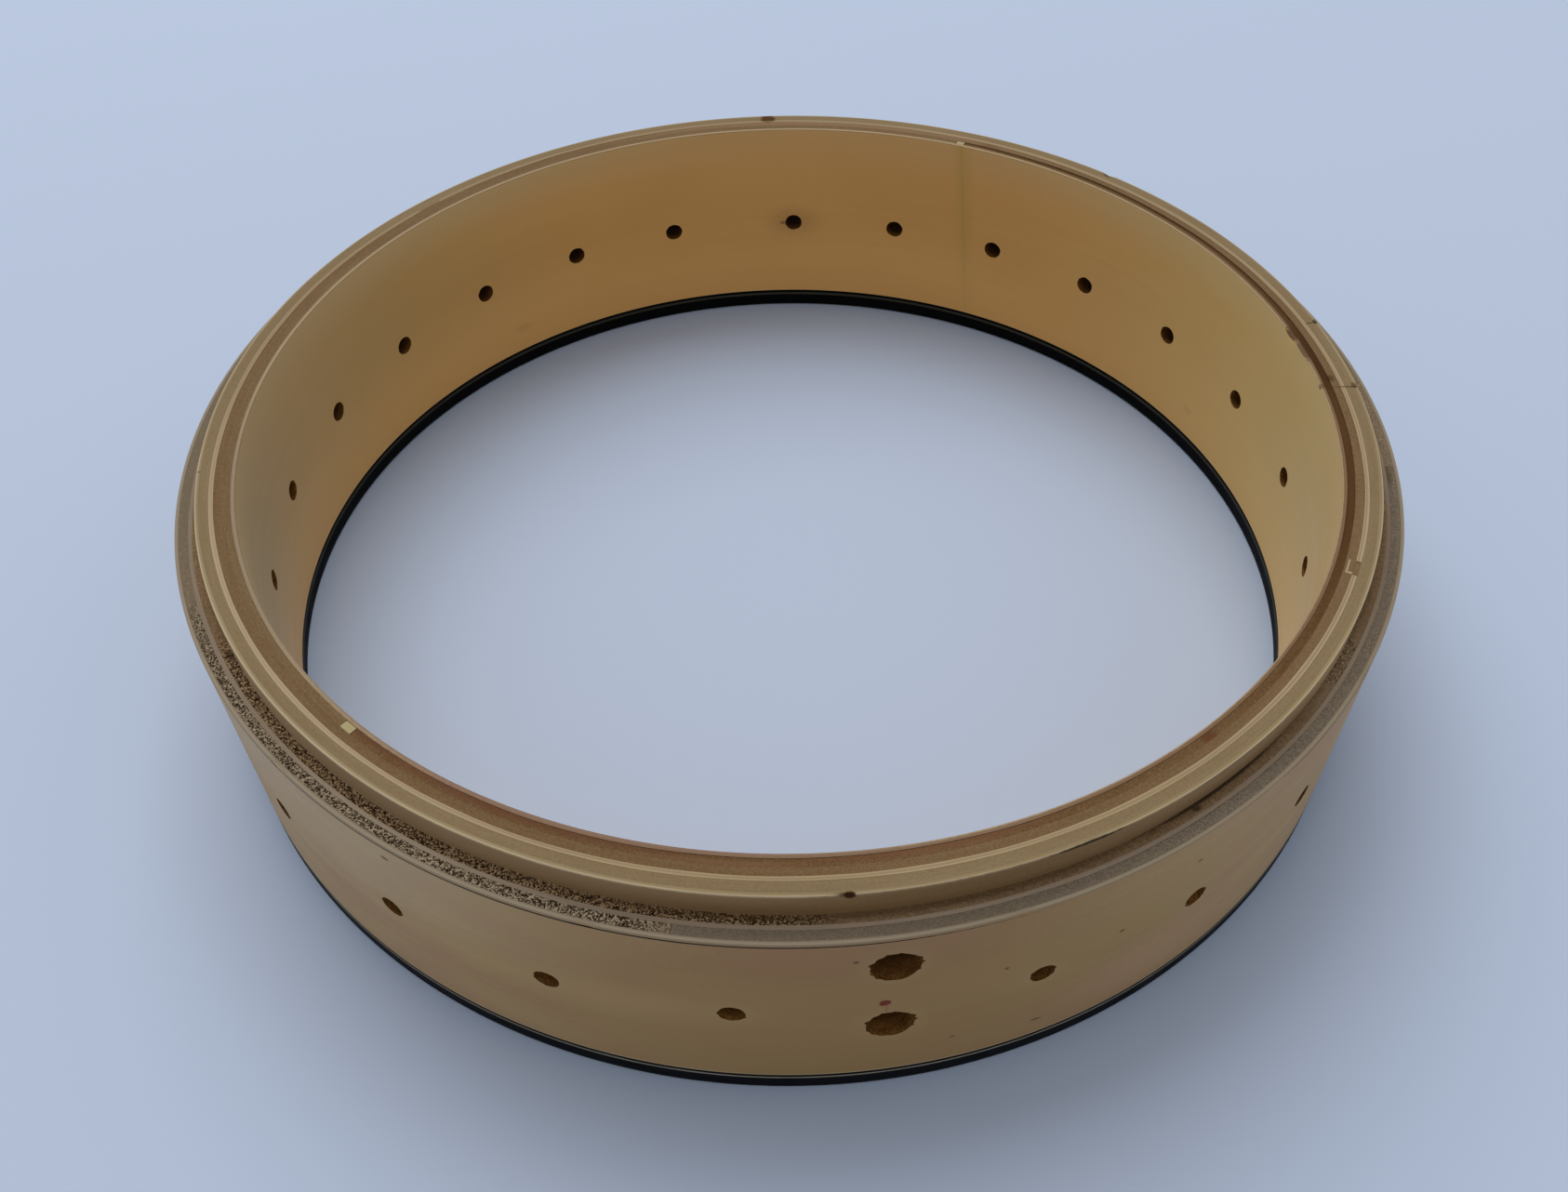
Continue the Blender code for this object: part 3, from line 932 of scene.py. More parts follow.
@dataclass
class InnerWall:
    """The lacquered veneer inside the hoop and the brown ply behind it."""

    shop: Workshop
    seam: float = 148.2
    seam_slant: float = 2.8
    sunk_start: float = -47.2
    sunk_depth: float = 0.1
    start_block: float = 3.0
    seam_block: float = 2.3

    def veneer(self) -> WoodFinish:
        """Gives the finish of the lacquered face.

        Returns:
            The finish.
        """
        return WoodFinish(
            "lacquered_inner_veneer", Grain.FACE, tone(208, 157, 87), tone(191, 139, 69), streaks=0.25,
            fibre_length=140, fibre_width=5, roughness=0.45, coat=0.16, bump=0.01,
            patches=(
                # Painted reflection and shade: the next three patches and those at 88 and -88 degrees make
                # the sides of the wall paler and greyer, as where the lacquer mirrors a pale sky at a slant,
                # and parts of the left darker.
                Patch(-120, INSIDE, 30, 55, 3, 70, (183, 147, 84), 0.8, 0.3, 0.8),
                Patch(-76, INSIDE, 40, 40, 3, 60, (124, 121, 87), 0.6, 0.4, 0.8),
                Patch(74, INSIDE, 40, 36, 3, 50, (168, 156, 118), 0.4, 0.4, 0.8),
                # Painted reflection: the top of the wall is paler and greyer all round, as where the lacquer
                # mirrors the sky, and the next patch takes most of it back at the far side.
                Patch(0, INSIDE, 63, AROUND, 3, 8, (196, 165, 114), 0.85, 0.3, 0.9),
                Patch(166, INSIDE, 58, 62, 3, 12, (204, 154, 88), 0.6, 0.3, 0.9),
                Patch(2, INSIDE, 30, 125, 3, 70, (184, 150, 96), 0.6, 0.3, 0.9),
                Patch(self.seam - 1.4, 125.5, 33.5, 2.3, 3, 90, (188, 148, 76), 0.65, 0.3, 0.8, -0.11),
                Patch(self.seam - 1.3, 125.5, 33.5, 0.4, 3, 90, (150, 114, 54), 0.15, 0.3, 0.8, -0.11),
                Patch(107, INSIDE, 13.5, 1.8, 2, 1, (120, 84, 42), 0.5, 0.8, 0.8),
                Patch(-147.3, INSIDE, 13, 2.5, 2, 1.2, (120, 84, 42), 0.4, 0.8, 0.8),
                Patch(172.9, INSIDE, 30.3, 0.9, 1.5, 0.55, (70, 40, 18), 0.9, 0.6, 0.4),
                Patch(171.4, INSIDE, 30.4, 6.5, 2, 4.2, (150, 112, 58), 0.5, 0.8, 0.8),
                # Painted highlight: a pale line along the wood's bottom edge, over the binding.
                Patch(0, INSIDE, 5.6, AROUND, 2, 0.35, (190, 165, 120), 0.5, 0.2, 0.4),
                # Painted light: the lower part of the wall is brighter all round, as if lit from the floor.
                Patch(0, INSIDE, 4, AROUND, 3, 20, (234, 181, 110), 0.55, 0.1, 0.8),
                # Painted reflection: paler, greyer sides of the wall.
                Patch(88, INSIDE, 34, 66, 3, 50, (199, 179, 116), 0.5, 0.5, 0.9),
                Patch(-88, INSIDE, 44, 60, 3, 40, (172, 150, 112), 0.5, 0.5, 0.9),
                Patch(0, INSIDE, 61.6, AROUND, 2.5, 0.35, (142, 121, 90), 0.8, 0.2, 0.3),
                Patch(-24, INSIDE, 61.6, 56, 1.3, 0.5, (112, 78, 58), 0.8, 0.3, 0.5),
                Patch(24, INSIDE, 61.6, 46, 1.2, 0.4, (156, 134, 104), 0.7, 0.3, 0.5),
                Patch(-74, INSIDE, 61.6, 52, 1.2, 0.4, (112, 96, 74), 0.6, 0.4, 0.6),
                Patch(50.5, 126.2, 61.6, 225, 0.95, 0.5, (112, 82, 54), 0.9, 0.35, 0.15),
                Patch(-142, 126.2, 61.6, 195, 0.6, 0.5, (118, 96, 68), 0.8, 0.35, 0.25),
                Patch(92.6, 125.2, 61.6, 2.8, 1.7, 0.9, (84, 56, 30), 1, 0.5, 0.2, bare=True),
                Patch(89.4, 125.2, 61.6, 3.6, 1.6, 0.5, (84, 58, 36), 0.8, 0.7, 0.3, bare=True),
                Patch(83.2, 125.2, RIDGE, 0.8, 1.6, 0.9, (84, 58, 36), 0.8, 0.6, 0.3, bare=True),
            ),
        )

    def plies(self) -> tuple[WoodFinish, WoodFinish, WoodFinish]:
        """Gives the finishes of the sunk arc, the flush arc and the blocks.

        Returns:
            The three finishes.
        """
        sunk = WoodFinish(
            "stained_sunk_ply", Grain.TORN, tone(113, 86, 56), tone(94, 67, 40), streaks=0.6,
            fibre_length=14, fibre_width=1.6, pores=0.22, roughness=0.85, bump=0.08,
            patches=(
                Patch(30, 127, 61.2, 1.8, 1.6, 2, (94, 56, 36), 0.7, 0.8, 0.5),
                Patch(4, 126.3, 61.2, 20, 0.85, 2, (113, 77, 54), 0.65, 0.9, 0.6),
                Patch(-32, 126.3, 61.2, 32, 0.85, 2, (101, 66, 47), 0.72, 0.95, 0.6),
                Patch(-12, 127.2, 61.2, 12, 0.6, 2, (118, 86, 62), 0.55, 0.9, 0.6),
                Patch(88, 127, 60.9, 105, 2, 2, (79, 52, 28), 0.8, 0.5, 0.4),
                Patch(125, 127, 60.9, 52, 2, 2, (110, 84, 54), 0.7, 0.5, 0.6),
                Patch(88, 127, 60.9, 12, 2, 2, (70, 46, 24), 0.75, 0.8, 0.5),
            ),
        )
        flush = WoodFinish(
            "brown_flush_ply", Grain.END, tone(121, 98, 69), tone(106, 82, 54), fibre_length=20,
            fibre_width=0.9, pores=0.22, pore_colour=tone(70, 48, 28), roughness=0.75,
        )
        block = WoodFinish(
            "pale_block", Grain.END, tone(176, 164, 124), tone(150, 134, 96), fibre_length=6,
            fibre_width=0.5, pores=0.15, pore_colour=tone(120, 100, 66), roughness=0.7,
        )
        return sunk, flush, block

    def build(self) -> None:
        """Builds the five pieces."""
        sizes, strip = self.shop.sizes, self.shop.strip
        sunk, flush, block = self.plies()
        brown = (sizes.brown_in, sizes.middle_in)
        per_mm = math.degrees(2.0 / (sizes.brown_in + sizes.middle_in))
        block_start = self.sunk_start - self.start_block * per_mm
        block_end = self.seam + self.seam_block * per_mm
        strip(
            "inner_veneer", "inner_face_veneer", "lacquered_maple", self.veneer(),
            (sizes.veneer_in, sizes.brown_in), RIDGE, (self.seam - FULL_TURN, self.seam),
            slant=self.seam_slant, gap=0.004, fineness=3, eased={"inner_top": 0.25},
            dents=(
                Dent(92.5, 125.2, RIDGE, 3, 1.5, 0.9, 0.1, -0.45, 0.3),
                Dent(83.2, 125.2, RIDGE, 0.9, 1.2, 0.9, 0.1, -0.3, 0.3),
            ),
        )
        strip(
            "sunk_brown_ply", "inner_ply_sunk_arc", "stained_end_grain", sunk, brown,
            RIDGE - self.sunk_depth, (self.sunk_start, self.seam), fineness=3, rows=4, rough=0.12,
            dents=(Dent(104, 126.9, 61.4, 108, 3, 3, 0, -0.5),),
        )
        strip(
            "flush_brown_ply", "inner_ply_flush_arc", "brown_end_grain", flush, brown,
            RIDGE - BROWN_DROP, (block_end, block_start + FULL_TURN), rough=0.03,
        )
        for name, node, arc in (
            ("pale_start_block", "inner_ply_start_block", (block_start, self.sunk_start)),
            ("pale_seam_block", "inner_ply_seam_block", (self.seam, block_end)),
        ):
            strip(
                name, node, "pale_long_grain", block, brown, RIDGE - SLIGHT_DROP, arc, fineness=4,
                rows=4, eased={"outer_top": 0.2, "inner_top": 0.2}, rough=0.12,
            )


@dataclass
class BearingRidge:
    """The raised ridge that a head bears on, with its joints, wedge and folded ply end."""

    shop: Workshop
    gap_start: float = 55.0
    gap_width: float = 4.3
    middle_joint: float = 83.0
    splice_start: float = 83.0
    splice_arc: float = 11.0
    edge_joint: float = -86.8
    wedge_depth: float = 8.0
    fold_height: float = 42.0
    fold_inset: float = 0.45

    def cross_plies(self) -> tuple[WoodFinish, WoodFinish, WoodFinish]:
        """Gives the finishes of the middle ply, the tan ply and the wedge.

        Returns:
            The three finishes.
        """
        middle = WoodFinish(
            "brown_middle_ply", Grain.END, tone(119, 95, 67), tone(103, 78, 50), fibre_length=24,
            fibre_width=0.9, pores=0.22, pore_colour=tone(70, 48, 28), roughness=0.75,
            patches=(
                *KNOTS,
                Patch(84.5, 128.2, RIDGE, 1.2, 0.9, 1, (72, 46, 24), 0.7, 0.8, 0.5),
                Patch(145, 128.6, RIDGE, 3, 1.3, 1, (98, 66, 38), 0.6, 0.8, 0.6),
                Patch(166, 128.7, RIDGE, 50, 1.3, 1, (140, 112, 86), 0.6, 0.3, 0.7),
            ),
        )
        tan = WoodFinish(
            "tan_ridge_ply", Grain.END, tone(135, 116, 87), tone(121, 101, 73), fibre_length=26,
            pores=0.16, pore_colour=tone(88, 68, 44), roughness=0.7, patches=KNOTS,
        )
        wedge = WoodFinish(
            "brown_wedge", Grain.END, tone(124, 98, 70), tone(104, 78, 52), fibre_length=8,
            fibre_width=0.6, pores=0.3, pore_colour=tone(66, 46, 28), roughness=0.8, bump=0.06,
        )
        return middle, tan, wedge

    def long_plies(self) -> tuple[WoodFinish, WoodFinish]:
        """Gives the finishes of the pale ply and of the edge ply with its step wall.

        Returns:
            The two finishes.
        """
        pale = WoodFinish(
            "pale_ridge_ply", Grain.LONG, tone(170, 150, 119), tone(146, 126, 95), streaks=0.6,
            fibre_length=30, fibre_width=0.35, bump=0.04,
            patches=(
                *KNOTS,
                Patch(-138.3, 130.1, RIDGE, 3.6, 1.5, 1, (108, 84, 58), 0.9, 0.6, 0.4),
                Patch(83, 130.1, RIDGE, 0.22, 0.8, 3, (58, 42, 26), 0.85, 0.5, 0.4),
                Patch(0, 130.05, RIDGE, AROUND, 0.2, 1, (132, 112, 82), 0.6, 0.4, 0.6),
                Patch(-160, 130.1, RIDGE, 90, 1, 1, (136, 114, 86), 0.55, 0.3, 0.8),
                Patch(-64, 130.1, RIDGE, 58, 1, 1, (174, 155, 130), 0.5, 0.3, 0.7),
            ),
        )
        edge = WoodFinish(
            "ridge_edge_ply", Grain.LONG, tone(162, 143, 113), tone(142, 122, 92), streaks=0.6,
            fibre_length=26, fibre_width=0.4, roughness=0.62, tint=tone(104, 80, 52), tinted=0.3,
            patches=(
                Patch(-60, 133.2, RIDGE, 66, 0.8, 1, (176, 162, 136), 0.6, 0.3, 0.7),
                Patch(0, 132.9, RIDGE, AROUND, 0.28, 1, (138, 120, 88), 0.75, 0.2, 0.4),
                Patch(16, 133, RIDGE, 66, 0.5, 1, (140, 121, 88), 0.5, 0.3, 0.6),
                Patch(0, 133.54, RIDGE, AROUND, 0.22, 0.5, (190, 172, 140), 0.75, 0.3, 0.25),
                Patch(0, 134.2, 57.5, AROUND, 1.2, 4.3, (150, 122, 88), 0.88, 0.15, 0.06),
                Patch(10, 134.2, 56.2, 76, 1.2, 2.4, (112, 84, 50), 0.45, 0.3, 0.7),
                Patch(8, 134.2, 60, 30, 1.2, 1.7, (118, 90, 52), 0.55, 0.5, 0.7),
                Patch(-66, 134.2, 57.4, 36, 1.2, 4, (186, 158, 124), 0.5, 0.4, 0.7),
                Patch(46, 134.2, 58.4, 16, 1.2, 4, (186, 158, 120), 0.5, 0.4, 0.7),
                Patch(-8, 134.2, 57.5, 36, 1.2, 3, (120, 90, 54), 0.5, 0.4, 0.8),
                Patch(15.5, 133.7, 61.2, 7.5, 0.4, 0.4, NEAR_BLACK, 0.85, 0.7, 0.4),
                Patch(30, 133.6, 61.2, 11, 0.2, 0.2, NEAR_BLACK, 0.4, 0.6, 0.6),
                # A near-black line in the corner at the foot of the step, round 28.5 degrees.
                Patch(28.5, 134.2, 55.8, 17, 1.2, 0.35, NEAR_BLACK, 0.9, 0.5, 0.4),
                Patch(-52, 133.6, 55.9, 34, 0.6, 0.35, (184, 158, 128), 0.7, 0.4, 0.5),
                *KNOTS,
            ),
        )
        return pale, edge

    def build(self) -> None:
        """Builds the nine pieces."""
        sizes, strip = self.shop.sizes, self.shop.strip
        middle, tan, wedge = self.cross_plies()
        pale, edge = self.long_plies()
        pale_span = (sizes.long_in, sizes.tan_in)
        gap_end = self.gap_start + math.degrees(self.gap_width / 130.1)
        splice_end = self.splice_start + self.splice_arc
        knots = (
            Dent(174.7, 131.4, RIDGE, 1.8, 1.5, 1.5, 0, -0.12),
            Dent(-3.3, 133.9, 61.4, 1.3, 0.9, 1, -0.5, -0.35),
            Dent(129.3, 133.4, RIDGE, 1.2, 0.8, 1, -0.3, -0.2),
        )
        strip(
            "brown_middle_ply", "middle_cross_ply", "brown_end_grain", middle,
            (sizes.middle_in, sizes.long_in), RIDGE - BROWN_DROP,
            (self.middle_joint, self.middle_joint + FULL_TURN), rough=0.03,
        )
        strip(
            "pale_ridge_ply", "ridge_long_ply", "pale_long_grain", pale, pale_span, RIDGE,
            (gap_end, self.gap_start + FULL_TURN), dents=knots,
        )
        strip(
            "gap_wedge", "ridge_gap_wedge", "brown_end_grain", wedge, pale_span, RIDGE - 0.1,
            (self.gap_start, gap_end), bored=False, bottom=RIDGE - self.wedge_depth, rough=0.1,
        )
        for name, node, arc in (
            ("tan_ridge_ply", "ridge_cross_ply", (splice_end, self.splice_start + FULL_TURN)),
            ("tan_splice", "ridge_cross_splice", (self.splice_start, splice_end)),
        ):
            strip(
                name, node, "tan_end_grain", tan, (sizes.tan_in, sizes.edge_in), RIDGE - SLIGHT_DROP,
                arc, gap=0.3, rough=0.02, dents=knots,
            )
        for name, node, arc in (
            ("ridge_edge_front", "ridge_edge_ply_front", (self.edge_joint, self.splice_start)),
            ("ridge_edge_splice_strip", "ridge_edge_splice", (self.splice_start, splice_end)),
            ("ridge_edge_back", "ridge_edge_ply_back", (splice_end, self.edge_joint + FULL_TURN)),
        ):
            strip(
                name, node, "pale_long_grain", edge, (sizes.edge_in, sizes.step + sizes.glue), RIDGE,
                arc, gap=0.3, eased={"outer_top": 0.28}, dents=knots,
            )
        self._folded_end(pale, gap_end)

    def _folded_end(self, finish: WoodFinish, gap_end: float) -> None:
        """Builds the torn end of the pale ply, an L that lies over the brown ply.

        Args:
            finish: The pale ply's finish.
            gap_end: Angle where the gap ends.
        """
        sizes = self.shop.sizes
        builder = bmesh.new()
        bmesh.ops.create_grid(builder, x_segments=6, y_segments=3, size=0.5)
        middles = {face: face.calc_center_median() for face in builder.faces}
        spare = [face for face, middle in middles.items() if middle.x > -0.33 and middle.y > -0.2]
        bmesh.ops.delete(builder, geom=spare, context="FACES")
        arc = gap_end - self.gap_start
        low = sizes.middle_in + self.fold_inset
        bottom = sizes.wood_bottom + sizes.glue + self.fold_height
        for vertex in builder.verts:
            along, out = vertex.co.x + 0.5, vertex.co.y + 0.5
            ragged = 0.08 * noise.noise(Vector((along * 7.0, out * 5.0, 3.0)))
            angle = self.gap_start + arc * (along * 0.98 + 0.01)
            radius = low + (sizes.long_in - low) * (out if out > 0.34 else out * 0.95) + ragged
            vertex.co = spot(angle, radius, bottom)
        raised = bmesh.ops.extrude_face_region(builder, geom=builder.faces[:])
        moved = [item for item in raised["geom"] if isinstance(item, bmesh.types.BMVert)]
        bmesh.ops.translate(builder, verts=moved, vec=(0.0, 0.0, (RIDGE - bottom) * MM))
        bmesh.ops.recalc_face_normals(builder, faces=builder.faces)
        piece = into_scene("folded_ply_end", builder, self.shop.finishes.material(finish))
        self.shop.fit(piece, "ridge_ply_folded_end", "pale_long_grain")


@dataclass
class HoopLedge:
    """The plies that end at the machined ledge and the veneer outside them."""

    shop: Workshop
    ledge_joint: float = -64.3
    smooth_start: float = -16.0
    smooth_arc: float = 89.9

    def plies(self) -> tuple[WoodFinish, WoodFinish, WoodFinish, WoodFinish]:
        """Gives the finishes of the torn, pale, smooth grey and torn outer plies.

        Returns:
            The four finishes.
        """
        rough = {
            "streaks": 0.4, "fibre_length": 12, "fibre_width": 1, "pores": 1, "pore_size": 0.31,
            "roughness": 0.9, "bump": 0.2,
        }
        ledge = WoodFinish(
            "torn_ledge_ply", Grain.TORN, tone(132, 107, 79), tone(112, 89, 64), **rough,
            pore_colour=tone(38, 26, 15), fleck_colour=tone(180, 152, 116), flecks=0.78,
            patches=(
                # Painted shade: the front of the ledge by the step's foot is darker, where the ridge shades
                # it.
                Patch(0, 134, LEDGE, 60, 0.7, 1, (84, 60, 34), 0.5, 0.6, 0.6),
                Patch(28.5, 133.8, LEDGE, 17, 0.28, 1, (46, 32, 20), 0.8, 0.7, 0.5),
                Patch(25.7, 134.5, LEDGE, 0.9, 0.6, 1, (52, 36, 24), 0.7, 0.8, 0.5),
                Patch(-64.3, 134.2, LEDGE, 1.2, 0.9, 1, (56, 42, 28), 0.7, 0.6, 0.4),
                Patch(46, 134.8, LEDGE, 13, 1, 1, (146, 126, 100), 0.4, 0.8, 0.5),
            ),
            torn_arcs=((-66, -5), (44, 50)),
        )
        pale = WoodFinish(
            "pale_ledge_ply", Grain.LONG, tone(144, 128, 110), tone(124, 108, 90), streaks=0.6,
            fibre_length=22, fibre_width=0.35, roughness=0.75, bump=0.06,
            patches=(
                Patch(-40, 136.1, LEDGE, 26, 0.8, 1, (170, 153, 133), 0.45, 0.5, 0.7),
                Patch(64, 136.1, LEDGE, 20, 0.8, 1, (116, 98, 84), 0.5, 0.5, 0.7),
                Patch(30, 136.65, LEDGE, 30, 0.16, 1, (54, 42, 32), 0.8, 0.8, 0.5),
            ),
        )
        smooth = WoodFinish(
            "grey_smooth_ply", Grain.TORN, tone(119, 107, 92), tone(105, 94, 79), streaks=0.4,
            fibre_length=16, fibre_width=0.9, pores=0.42, pore_size=0.27,
            pore_colour=tone(60, 52, 42), roughness=0.85, bump=0.08,
            patches=(
                Patch(72.7, 136.9, LEDGE, 3.6, 0.9, 1, (84, 68, 52), 0.7, 0.6, 0.5),
                Patch(-2, 137.6, LEDGE, 44, 1.4, 1, (100, 88, 73), 0.5, 0.5, 0.7),
            ),
        )
        torn = WoodFinish(
            "torn_outer_ply", Grain.TORN, tone(128, 111, 90), tone(112, 96, 76), **rough,
            pore_colour=tone(38, 29, 20), fleck_colour=tone(178, 162, 138), flecks=0.7,
            patches=(Patch(-90, 137.6, LEDGE, 44, 1.4, 1, (112, 101, 84), 0.6, 0.4, 0.7),),
            torn_arcs=((-72, -16),),
        )
        return ledge, pale, smooth, torn

    def skin(self) -> WoodFinish:
        """Gives the finish of the lacquered outer veneer, with its specks, pale bore rims, painted shade at
        the front and painted light at the sides.

        Returns:
            The finish.
        """
        specks = (
            (-39.3, 51, 0.9, 0.5), (-2.9, 49, 0.5, 0.4), (25.2, 46, 0.6, 0.4), (8.7, 37, 0.5, 0.4),
            (18.7, 34.5, 0.6, 0.4), (12.4, 11.4, 1.1, 0.35), (5.2, 14.5, 0.5, 0.3),
        )
        rim = (170, 140, 98)
        brackets = Bores().bracket_angles()
        halos = [Patch(angle, SKIN, 30.4, 4.6, 1.2, 3.1, rim, 0.3, 0.9, 0.5) for angle in brackets]
        dark = [
            Patch(angle, SKIN, height, arc, 1.5, rise, (84, 50, 26), 0.8, 0.7, 0.5)
            for angle, height, arc, rise in specks
        ]
        return WoodFinish(
            "lacquered_outer_veneer", Grain.FACE, tone(180, 150, 104), tone(160, 128, 82),
            streaks=0.22, fibre_width=4, tint=tone(172, 130, 102), tinted=0.45, roughness=0.5,
            coat=0.08, bump=0.012,
            patches=(
                # Painted shade: the front of the wall, turned away from the lamp, is darker.
                Patch(-3, SKIN, 28, 62, 3, 60, (150, 118, 72), 0.75, 0.5, 0.8),
                Patch(16, SKIN, 32, 22, 3, 7, (160, 132, 82), 0.6, 0.8, 0.8),
                Patch(-4, SKIN, 50, 30, 3, 8, (150, 112, 80), 0.55, 0.8, 0.8),
                # Painted light: the upper sides round -50 and 68 degrees are paler.
                Patch(-50, SKIN, 47, 44, 3, 15, (196, 174, 138), 0.5, 0.8, 0.8),
                Patch(68, SKIN, 46, 34, 3, 15, (204, 178, 142), 0.55, 0.8, 0.8),
                Patch(24, SKIN, 16, 18, 3, 7, (178, 140, 108), 0.5, 0.8, 0.8),
                Patch(-24, SKIN, 30, 26, 3, 5, (176, 146, 96), 0.5, 0.8, 0.8),
                *halos,
                Patch(0, SKIN, 24.5, 6.9, 1.2, 5.6, rim, 0.3, 0.9, 0.4),
                Patch(0, SKIN, 46, 6.6, 1.2, 5.4, rim, 0.3, 0.9, 0.4),
                *dark,
                Patch(-0.55, SKIN, 33, 1.1, 1.5, 1.05, (112, 46, 14), 1, 0.6, 0.2),
                Patch(-0.4, SKIN, 30.6, 0.25, 1.5, 1.6, (140, 90, 60), 0.5, 0.5, 0.5),
                Patch(0, 138.5, LEDGE, AROUND, 0.5, 0.5, (112, 98, 80), 0.9, 0.3, 0.4),
                Patch(0, SKIN, LEDGE, AROUND, 0.6, 0.3, (132, 121, 103), 0.85, 0.15, 0.2),
                Patch(-28, 139.7, 54.92, 92, 1.5, 0.24, NEAR_BLACK, 1, 0.25, 0.2, bare=True),
                Patch(41.7, 139.7, 54.92, 20, 1.5, 0.2, NEAR_BLACK, 1, 0.25, 0.2, bare=True),
                # Painted highlight: a pale line along the wood's bottom edge, over the binding.
                Patch(0, SKIN, 5.5, AROUND, 2, 0.4, (186, 166, 130), 0.6, 0.2, 0.4),
            ),
        )

    def build(self) -> None:
        """Builds the five pieces."""
        sizes, strip = self.shop.sizes, self.shop.strip
        ledge, pale, smooth, torn = self.plies()
        low_top = LEDGE - SLIGHT_DROP
        grey_span = (sizes.grey_in, sizes.skin_in)
        smooth_end = self.smooth_start + self.smooth_arc
        strip(
            "torn_ledge_ply", "ledge_cross_ply", "rough_end_grain", ledge,
            (sizes.step + sizes.glue, sizes.pale_in), low_top,
            (self.ledge_joint, self.ledge_joint + FULL_TURN), fineness=4, rows=5, rough=0.3,
            torn_arcs=ledge.torn_arcs,
            dents=(
                Dent(25.7, 134.3, LEDGE, 0.8, 0.6, 0.6, 0, -0.2),
                Dent(-64.3, 134, LEDGE, 1, 0.9, 0.6, 0, -0.35),
            ),
        )
        strip(
            "pale_ledge_ply", "ledge_long_ply", "pale_long_grain", pale,
            (sizes.pale_in, sizes.grey_in), LEDGE, rows=2, rough=0.04,
        )
        strip(
            "grey_smooth_ply", "outer_ply_smooth_arc", "grey_end_grain", smooth, grey_span, low_top,
            (self.smooth_start, smooth_end), fineness=3, rows=5, rough=0.08,
        )
        strip(
            "torn_outer_ply", "outer_ply_rough_arc", "rough_end_grain", torn, grey_span, low_top,
            (smooth_end, self.smooth_start + FULL_TURN), fineness=4, rows=5, rough=0.3,
            torn_arcs=torn.torn_arcs,
        )
        chips = (
            (-51, 1.8, -0.2, -0.25), (-22, 2.2, -0.15, -0.2), (9, 1.6, -0.15, -0.2),
            (47, 2, -0.2, -0.25), (118, 1.8, -0.2, -0.2),
        )
        strip(
            "outer_veneer", "outer_face_veneer", "lacquered_maple", self.skin(),
            (sizes.skin_in, sizes.outside), LEDGE, rows=2, eased={"outer_top": 0.25},
            dents=tuple(Dent(angle, 139.5, LEDGE, arc, 0.6, 0.6, *moves) for angle, arc, *moves in chips),
        )


@dataclass
class BottomBinding:
    """The black, white and black binding under the wall."""

    shop: Workshop
    corner: float = 0.6

    def build(self) -> None:
        """Builds the three rings."""
        sizes = self.shop.sizes
        shaded = Patch(0, INSIDE, 4.2, AROUND, 2, 3, (48, 48, 40), 0.94, 0.1, 0.2)
        grimed = Patch(0, 139.5, 3.8, AROUND, 2, 0.36, (20, 20, 22), 0.95, 0.4, 0.3)
        black = BindingFinish("black_binding", tone(4, 5, 7), tone(15, 16, 19), 0.55)
        white = BindingFinish("white_binding", tone(150, 142, 126), tone(96, 86, 70), 0.5, (shaded, grimed))
        low_corners = {"outer_bottom": self.corner, "inner_bottom": self.corner}
        for name, node, finish, bottom, top, eased in (
            ("black_line", "binding_black_line", black, sizes.white_top + sizes.glue, sizes.wood_bottom, {}),
            ("white_line", "binding_white_line", white, sizes.cap_top + sizes.glue, sizes.white_top, {}),
            ("black_cap", "binding_black_cap", black, 0.0, sizes.cap_top, low_corners),
        ):
            self.shop.strip(
                name, node, finish.name, finish, (sizes.veneer_in, sizes.outside), top, bored=False,
                bottom=bottom, rows=1, eased=eased,
            )


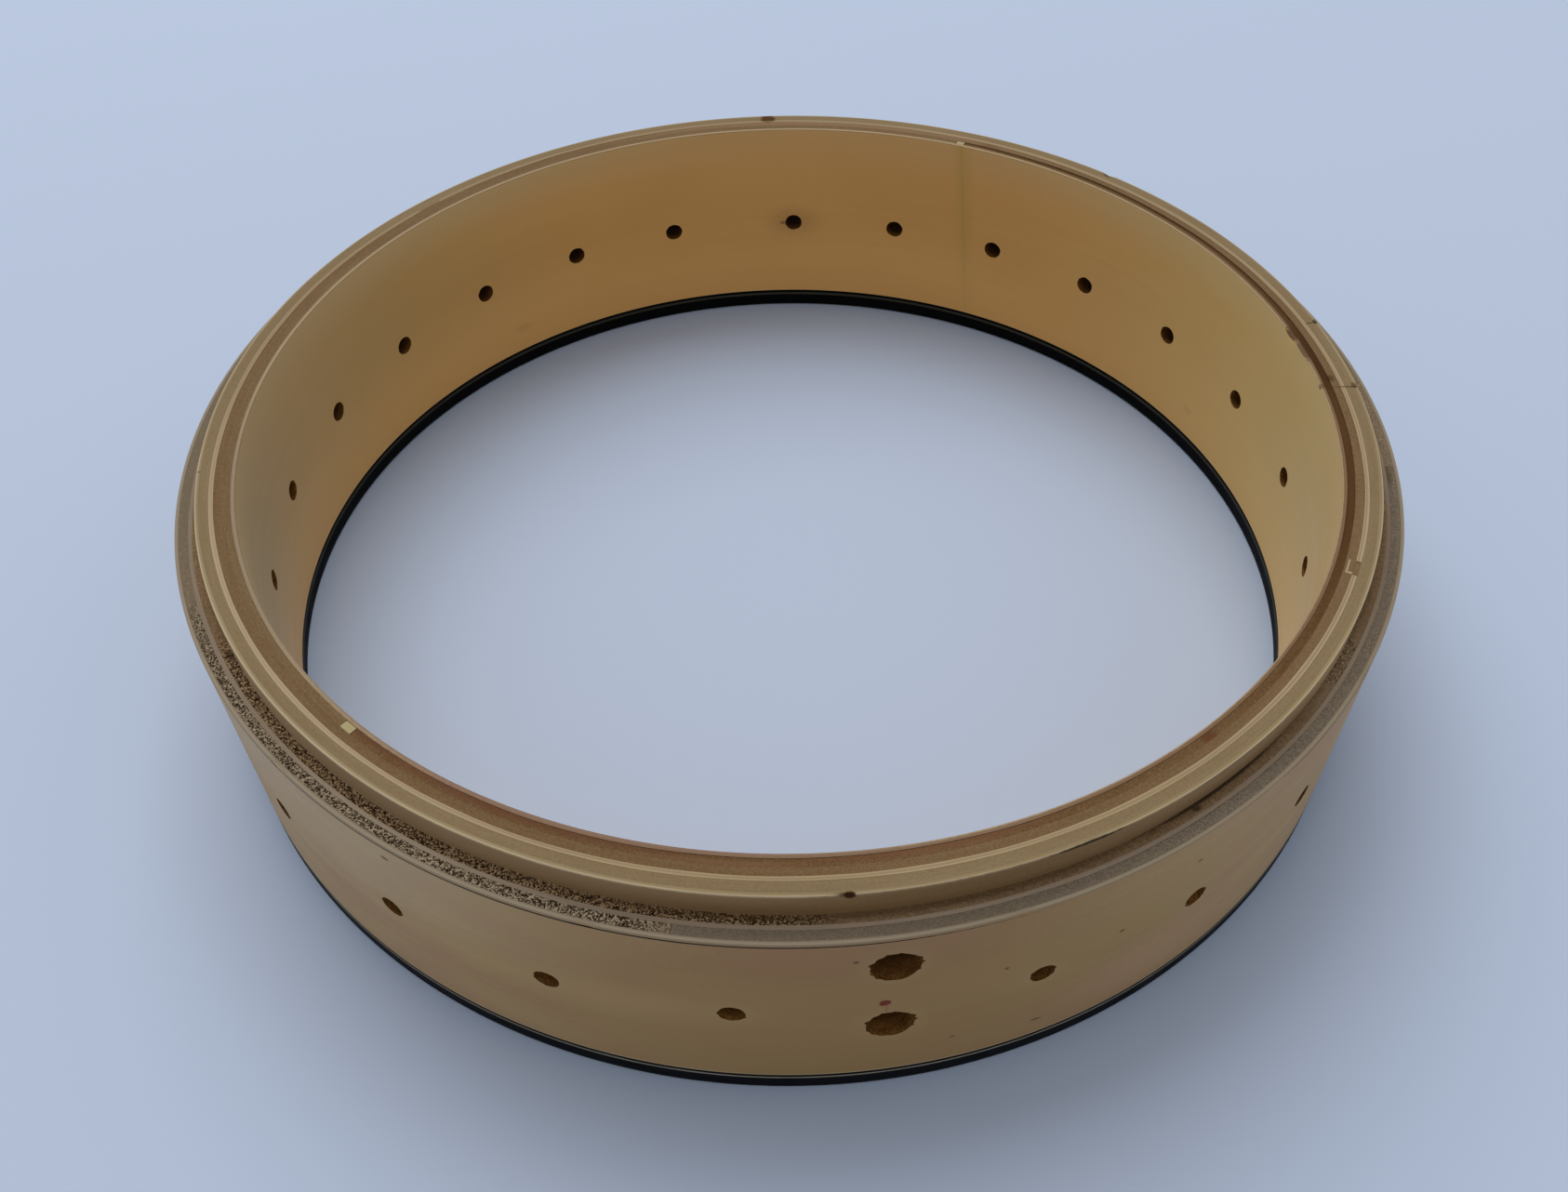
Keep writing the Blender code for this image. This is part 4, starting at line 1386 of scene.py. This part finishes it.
@dataclass
class Studio:
    """A pale floor, a soft window light and a camera at the portrait's angle."""

    camera_place: tuple[float, float, float] = (-32.45, -253.33, 265.1)
    heading: float = 6.99
    pitch: float = 46.81
    roll: float = -0.94
    lens: float = 31.72
    floor_colour: Colour = tone(180, 193, 216)
    window_place: tuple[float, float, float] = (-0.45, 2.1, 3.4)
    window_size: float = 3.4
    window_watts: float = 112.0

    def floor(self) -> None:
        """Lays the floor."""
        builder = bmesh.new()
        bmesh.ops.create_grid(builder, x_segments=1, y_segments=1, size=4.0)
        bmesh.ops.translate(builder, verts=builder.verts, vec=(0.0, 0.0, -0.0002))
        material = bpy.data.materials.new("pale_floor")
        material.use_nodes = True
        shader = material.node_tree.nodes["Principled BSDF"]
        shader.inputs["Base Color"].default_value = (*self.floor_colour, 1.0)
        shader.inputs["Roughness"].default_value = 0.85
        shader.inputs["Specular IOR Level"].default_value = 0.2
        into_scene("studio_floor", builder, material)

    def camera(self) -> None:
        """Puts the camera where the portrait was taken from."""
        heading, pitch, roll = (math.radians(turn) for turn in (self.heading, self.pitch, self.roll))
        flat = math.cos(pitch)
        ahead = Vector((math.sin(heading) * flat, math.cos(heading) * flat, -math.sin(pitch)))
        level = Vector((math.cos(heading), -math.sin(heading), 0.0))
        upright = level.cross(ahead)
        right = math.cos(roll) * level + math.sin(roll) * upright
        up = -math.sin(roll) * level + math.cos(roll) * upright
        data = bpy.data.cameras.new("portrait_camera")
        data.lens = self.lens
        data.sensor_width = 36.0
        data.clip_start = 0.01
        camera = bpy.data.objects.new("portrait_camera", data)
        place = Matrix((right, up, -ahead)).transposed().to_4x4()
        place.translation = Vector(self.camera_place) * MM
        camera.matrix_world = place
        bpy.context.scene.collection.objects.link(camera)
        bpy.context.scene.camera = camera

    def window(self) -> None:
        """Hangs the one square lamp, which points at the hoop."""
        data = bpy.data.lights.new("window", "AREA")
        data.shape = "SQUARE"
        data.size = self.window_size
        data.energy = self.window_watts
        data.color = (1.0, 0.99, 0.97)
        lamp = bpy.data.objects.new("window", data)
        lamp.location = self.window_place
        lamp.rotation_mode = "QUATERNION"
        lamp.rotation_quaternion = (-Vector(self.window_place)).to_track_quat("-Z", "Y")
        bpy.context.scene.collection.objects.link(lamp)

    def world(self) -> None:
        """Surrounds the hoop with a plain pale sky."""
        world = bpy.data.worlds.new("pale_sky")
        world.use_nodes = True
        sky = world.node_tree.nodes["Background"]
        sky.inputs["Color"].default_value = (0.96, 0.98, 1.0, 1.0)
        sky.inputs["Strength"].default_value = 0.54
        bpy.context.scene.world = world

    def build(self) -> None:
        """Sets up the whole studio."""
        self.floor()
        self.camera()
        self.world()
        self.window()
        bpy.context.scene.view_settings.view_transform = "Standard"


def main() -> None:
    """Builds the hoop's sub-assemblies in order, and the studio round them."""
    logging.basicConfig(level=logging.INFO, format="%(name)s: %(message)s")
    finishes = FinishRoom()
    bored = WoodFinish(
        "bored_wood", Grain.END, tone(136, 90, 38), tone(80, 50, 18), streaks=0.8, fibre_length=5,
        fibre_width=0.7, pores=0.3, pore_size=0.4, pore_colour=tone(46, 26, 8), roughness=0.85,
        # The patch is painted shade: the bored walls are darker deep in the bores, away from the mouths.
        bump=0.15, patches=(Patch(0, 131.5, 30, AROUND, 5.2, AROUND, (66, 40, 16), 0.8, 0.4, 0.35),),
    )
    cutter = Bores().cutter(finishes.material(bored))
    shop = Workshop(WallSizes(), finishes, cutter)
    for part in (InnerWall(shop), BearingRidge(shop), HoopLedge(shop), BottomBinding(shop)):
        part.build()
    bpy.data.objects.remove(cutter)
    Studio().build()


if __name__ == "__main__":
    main()
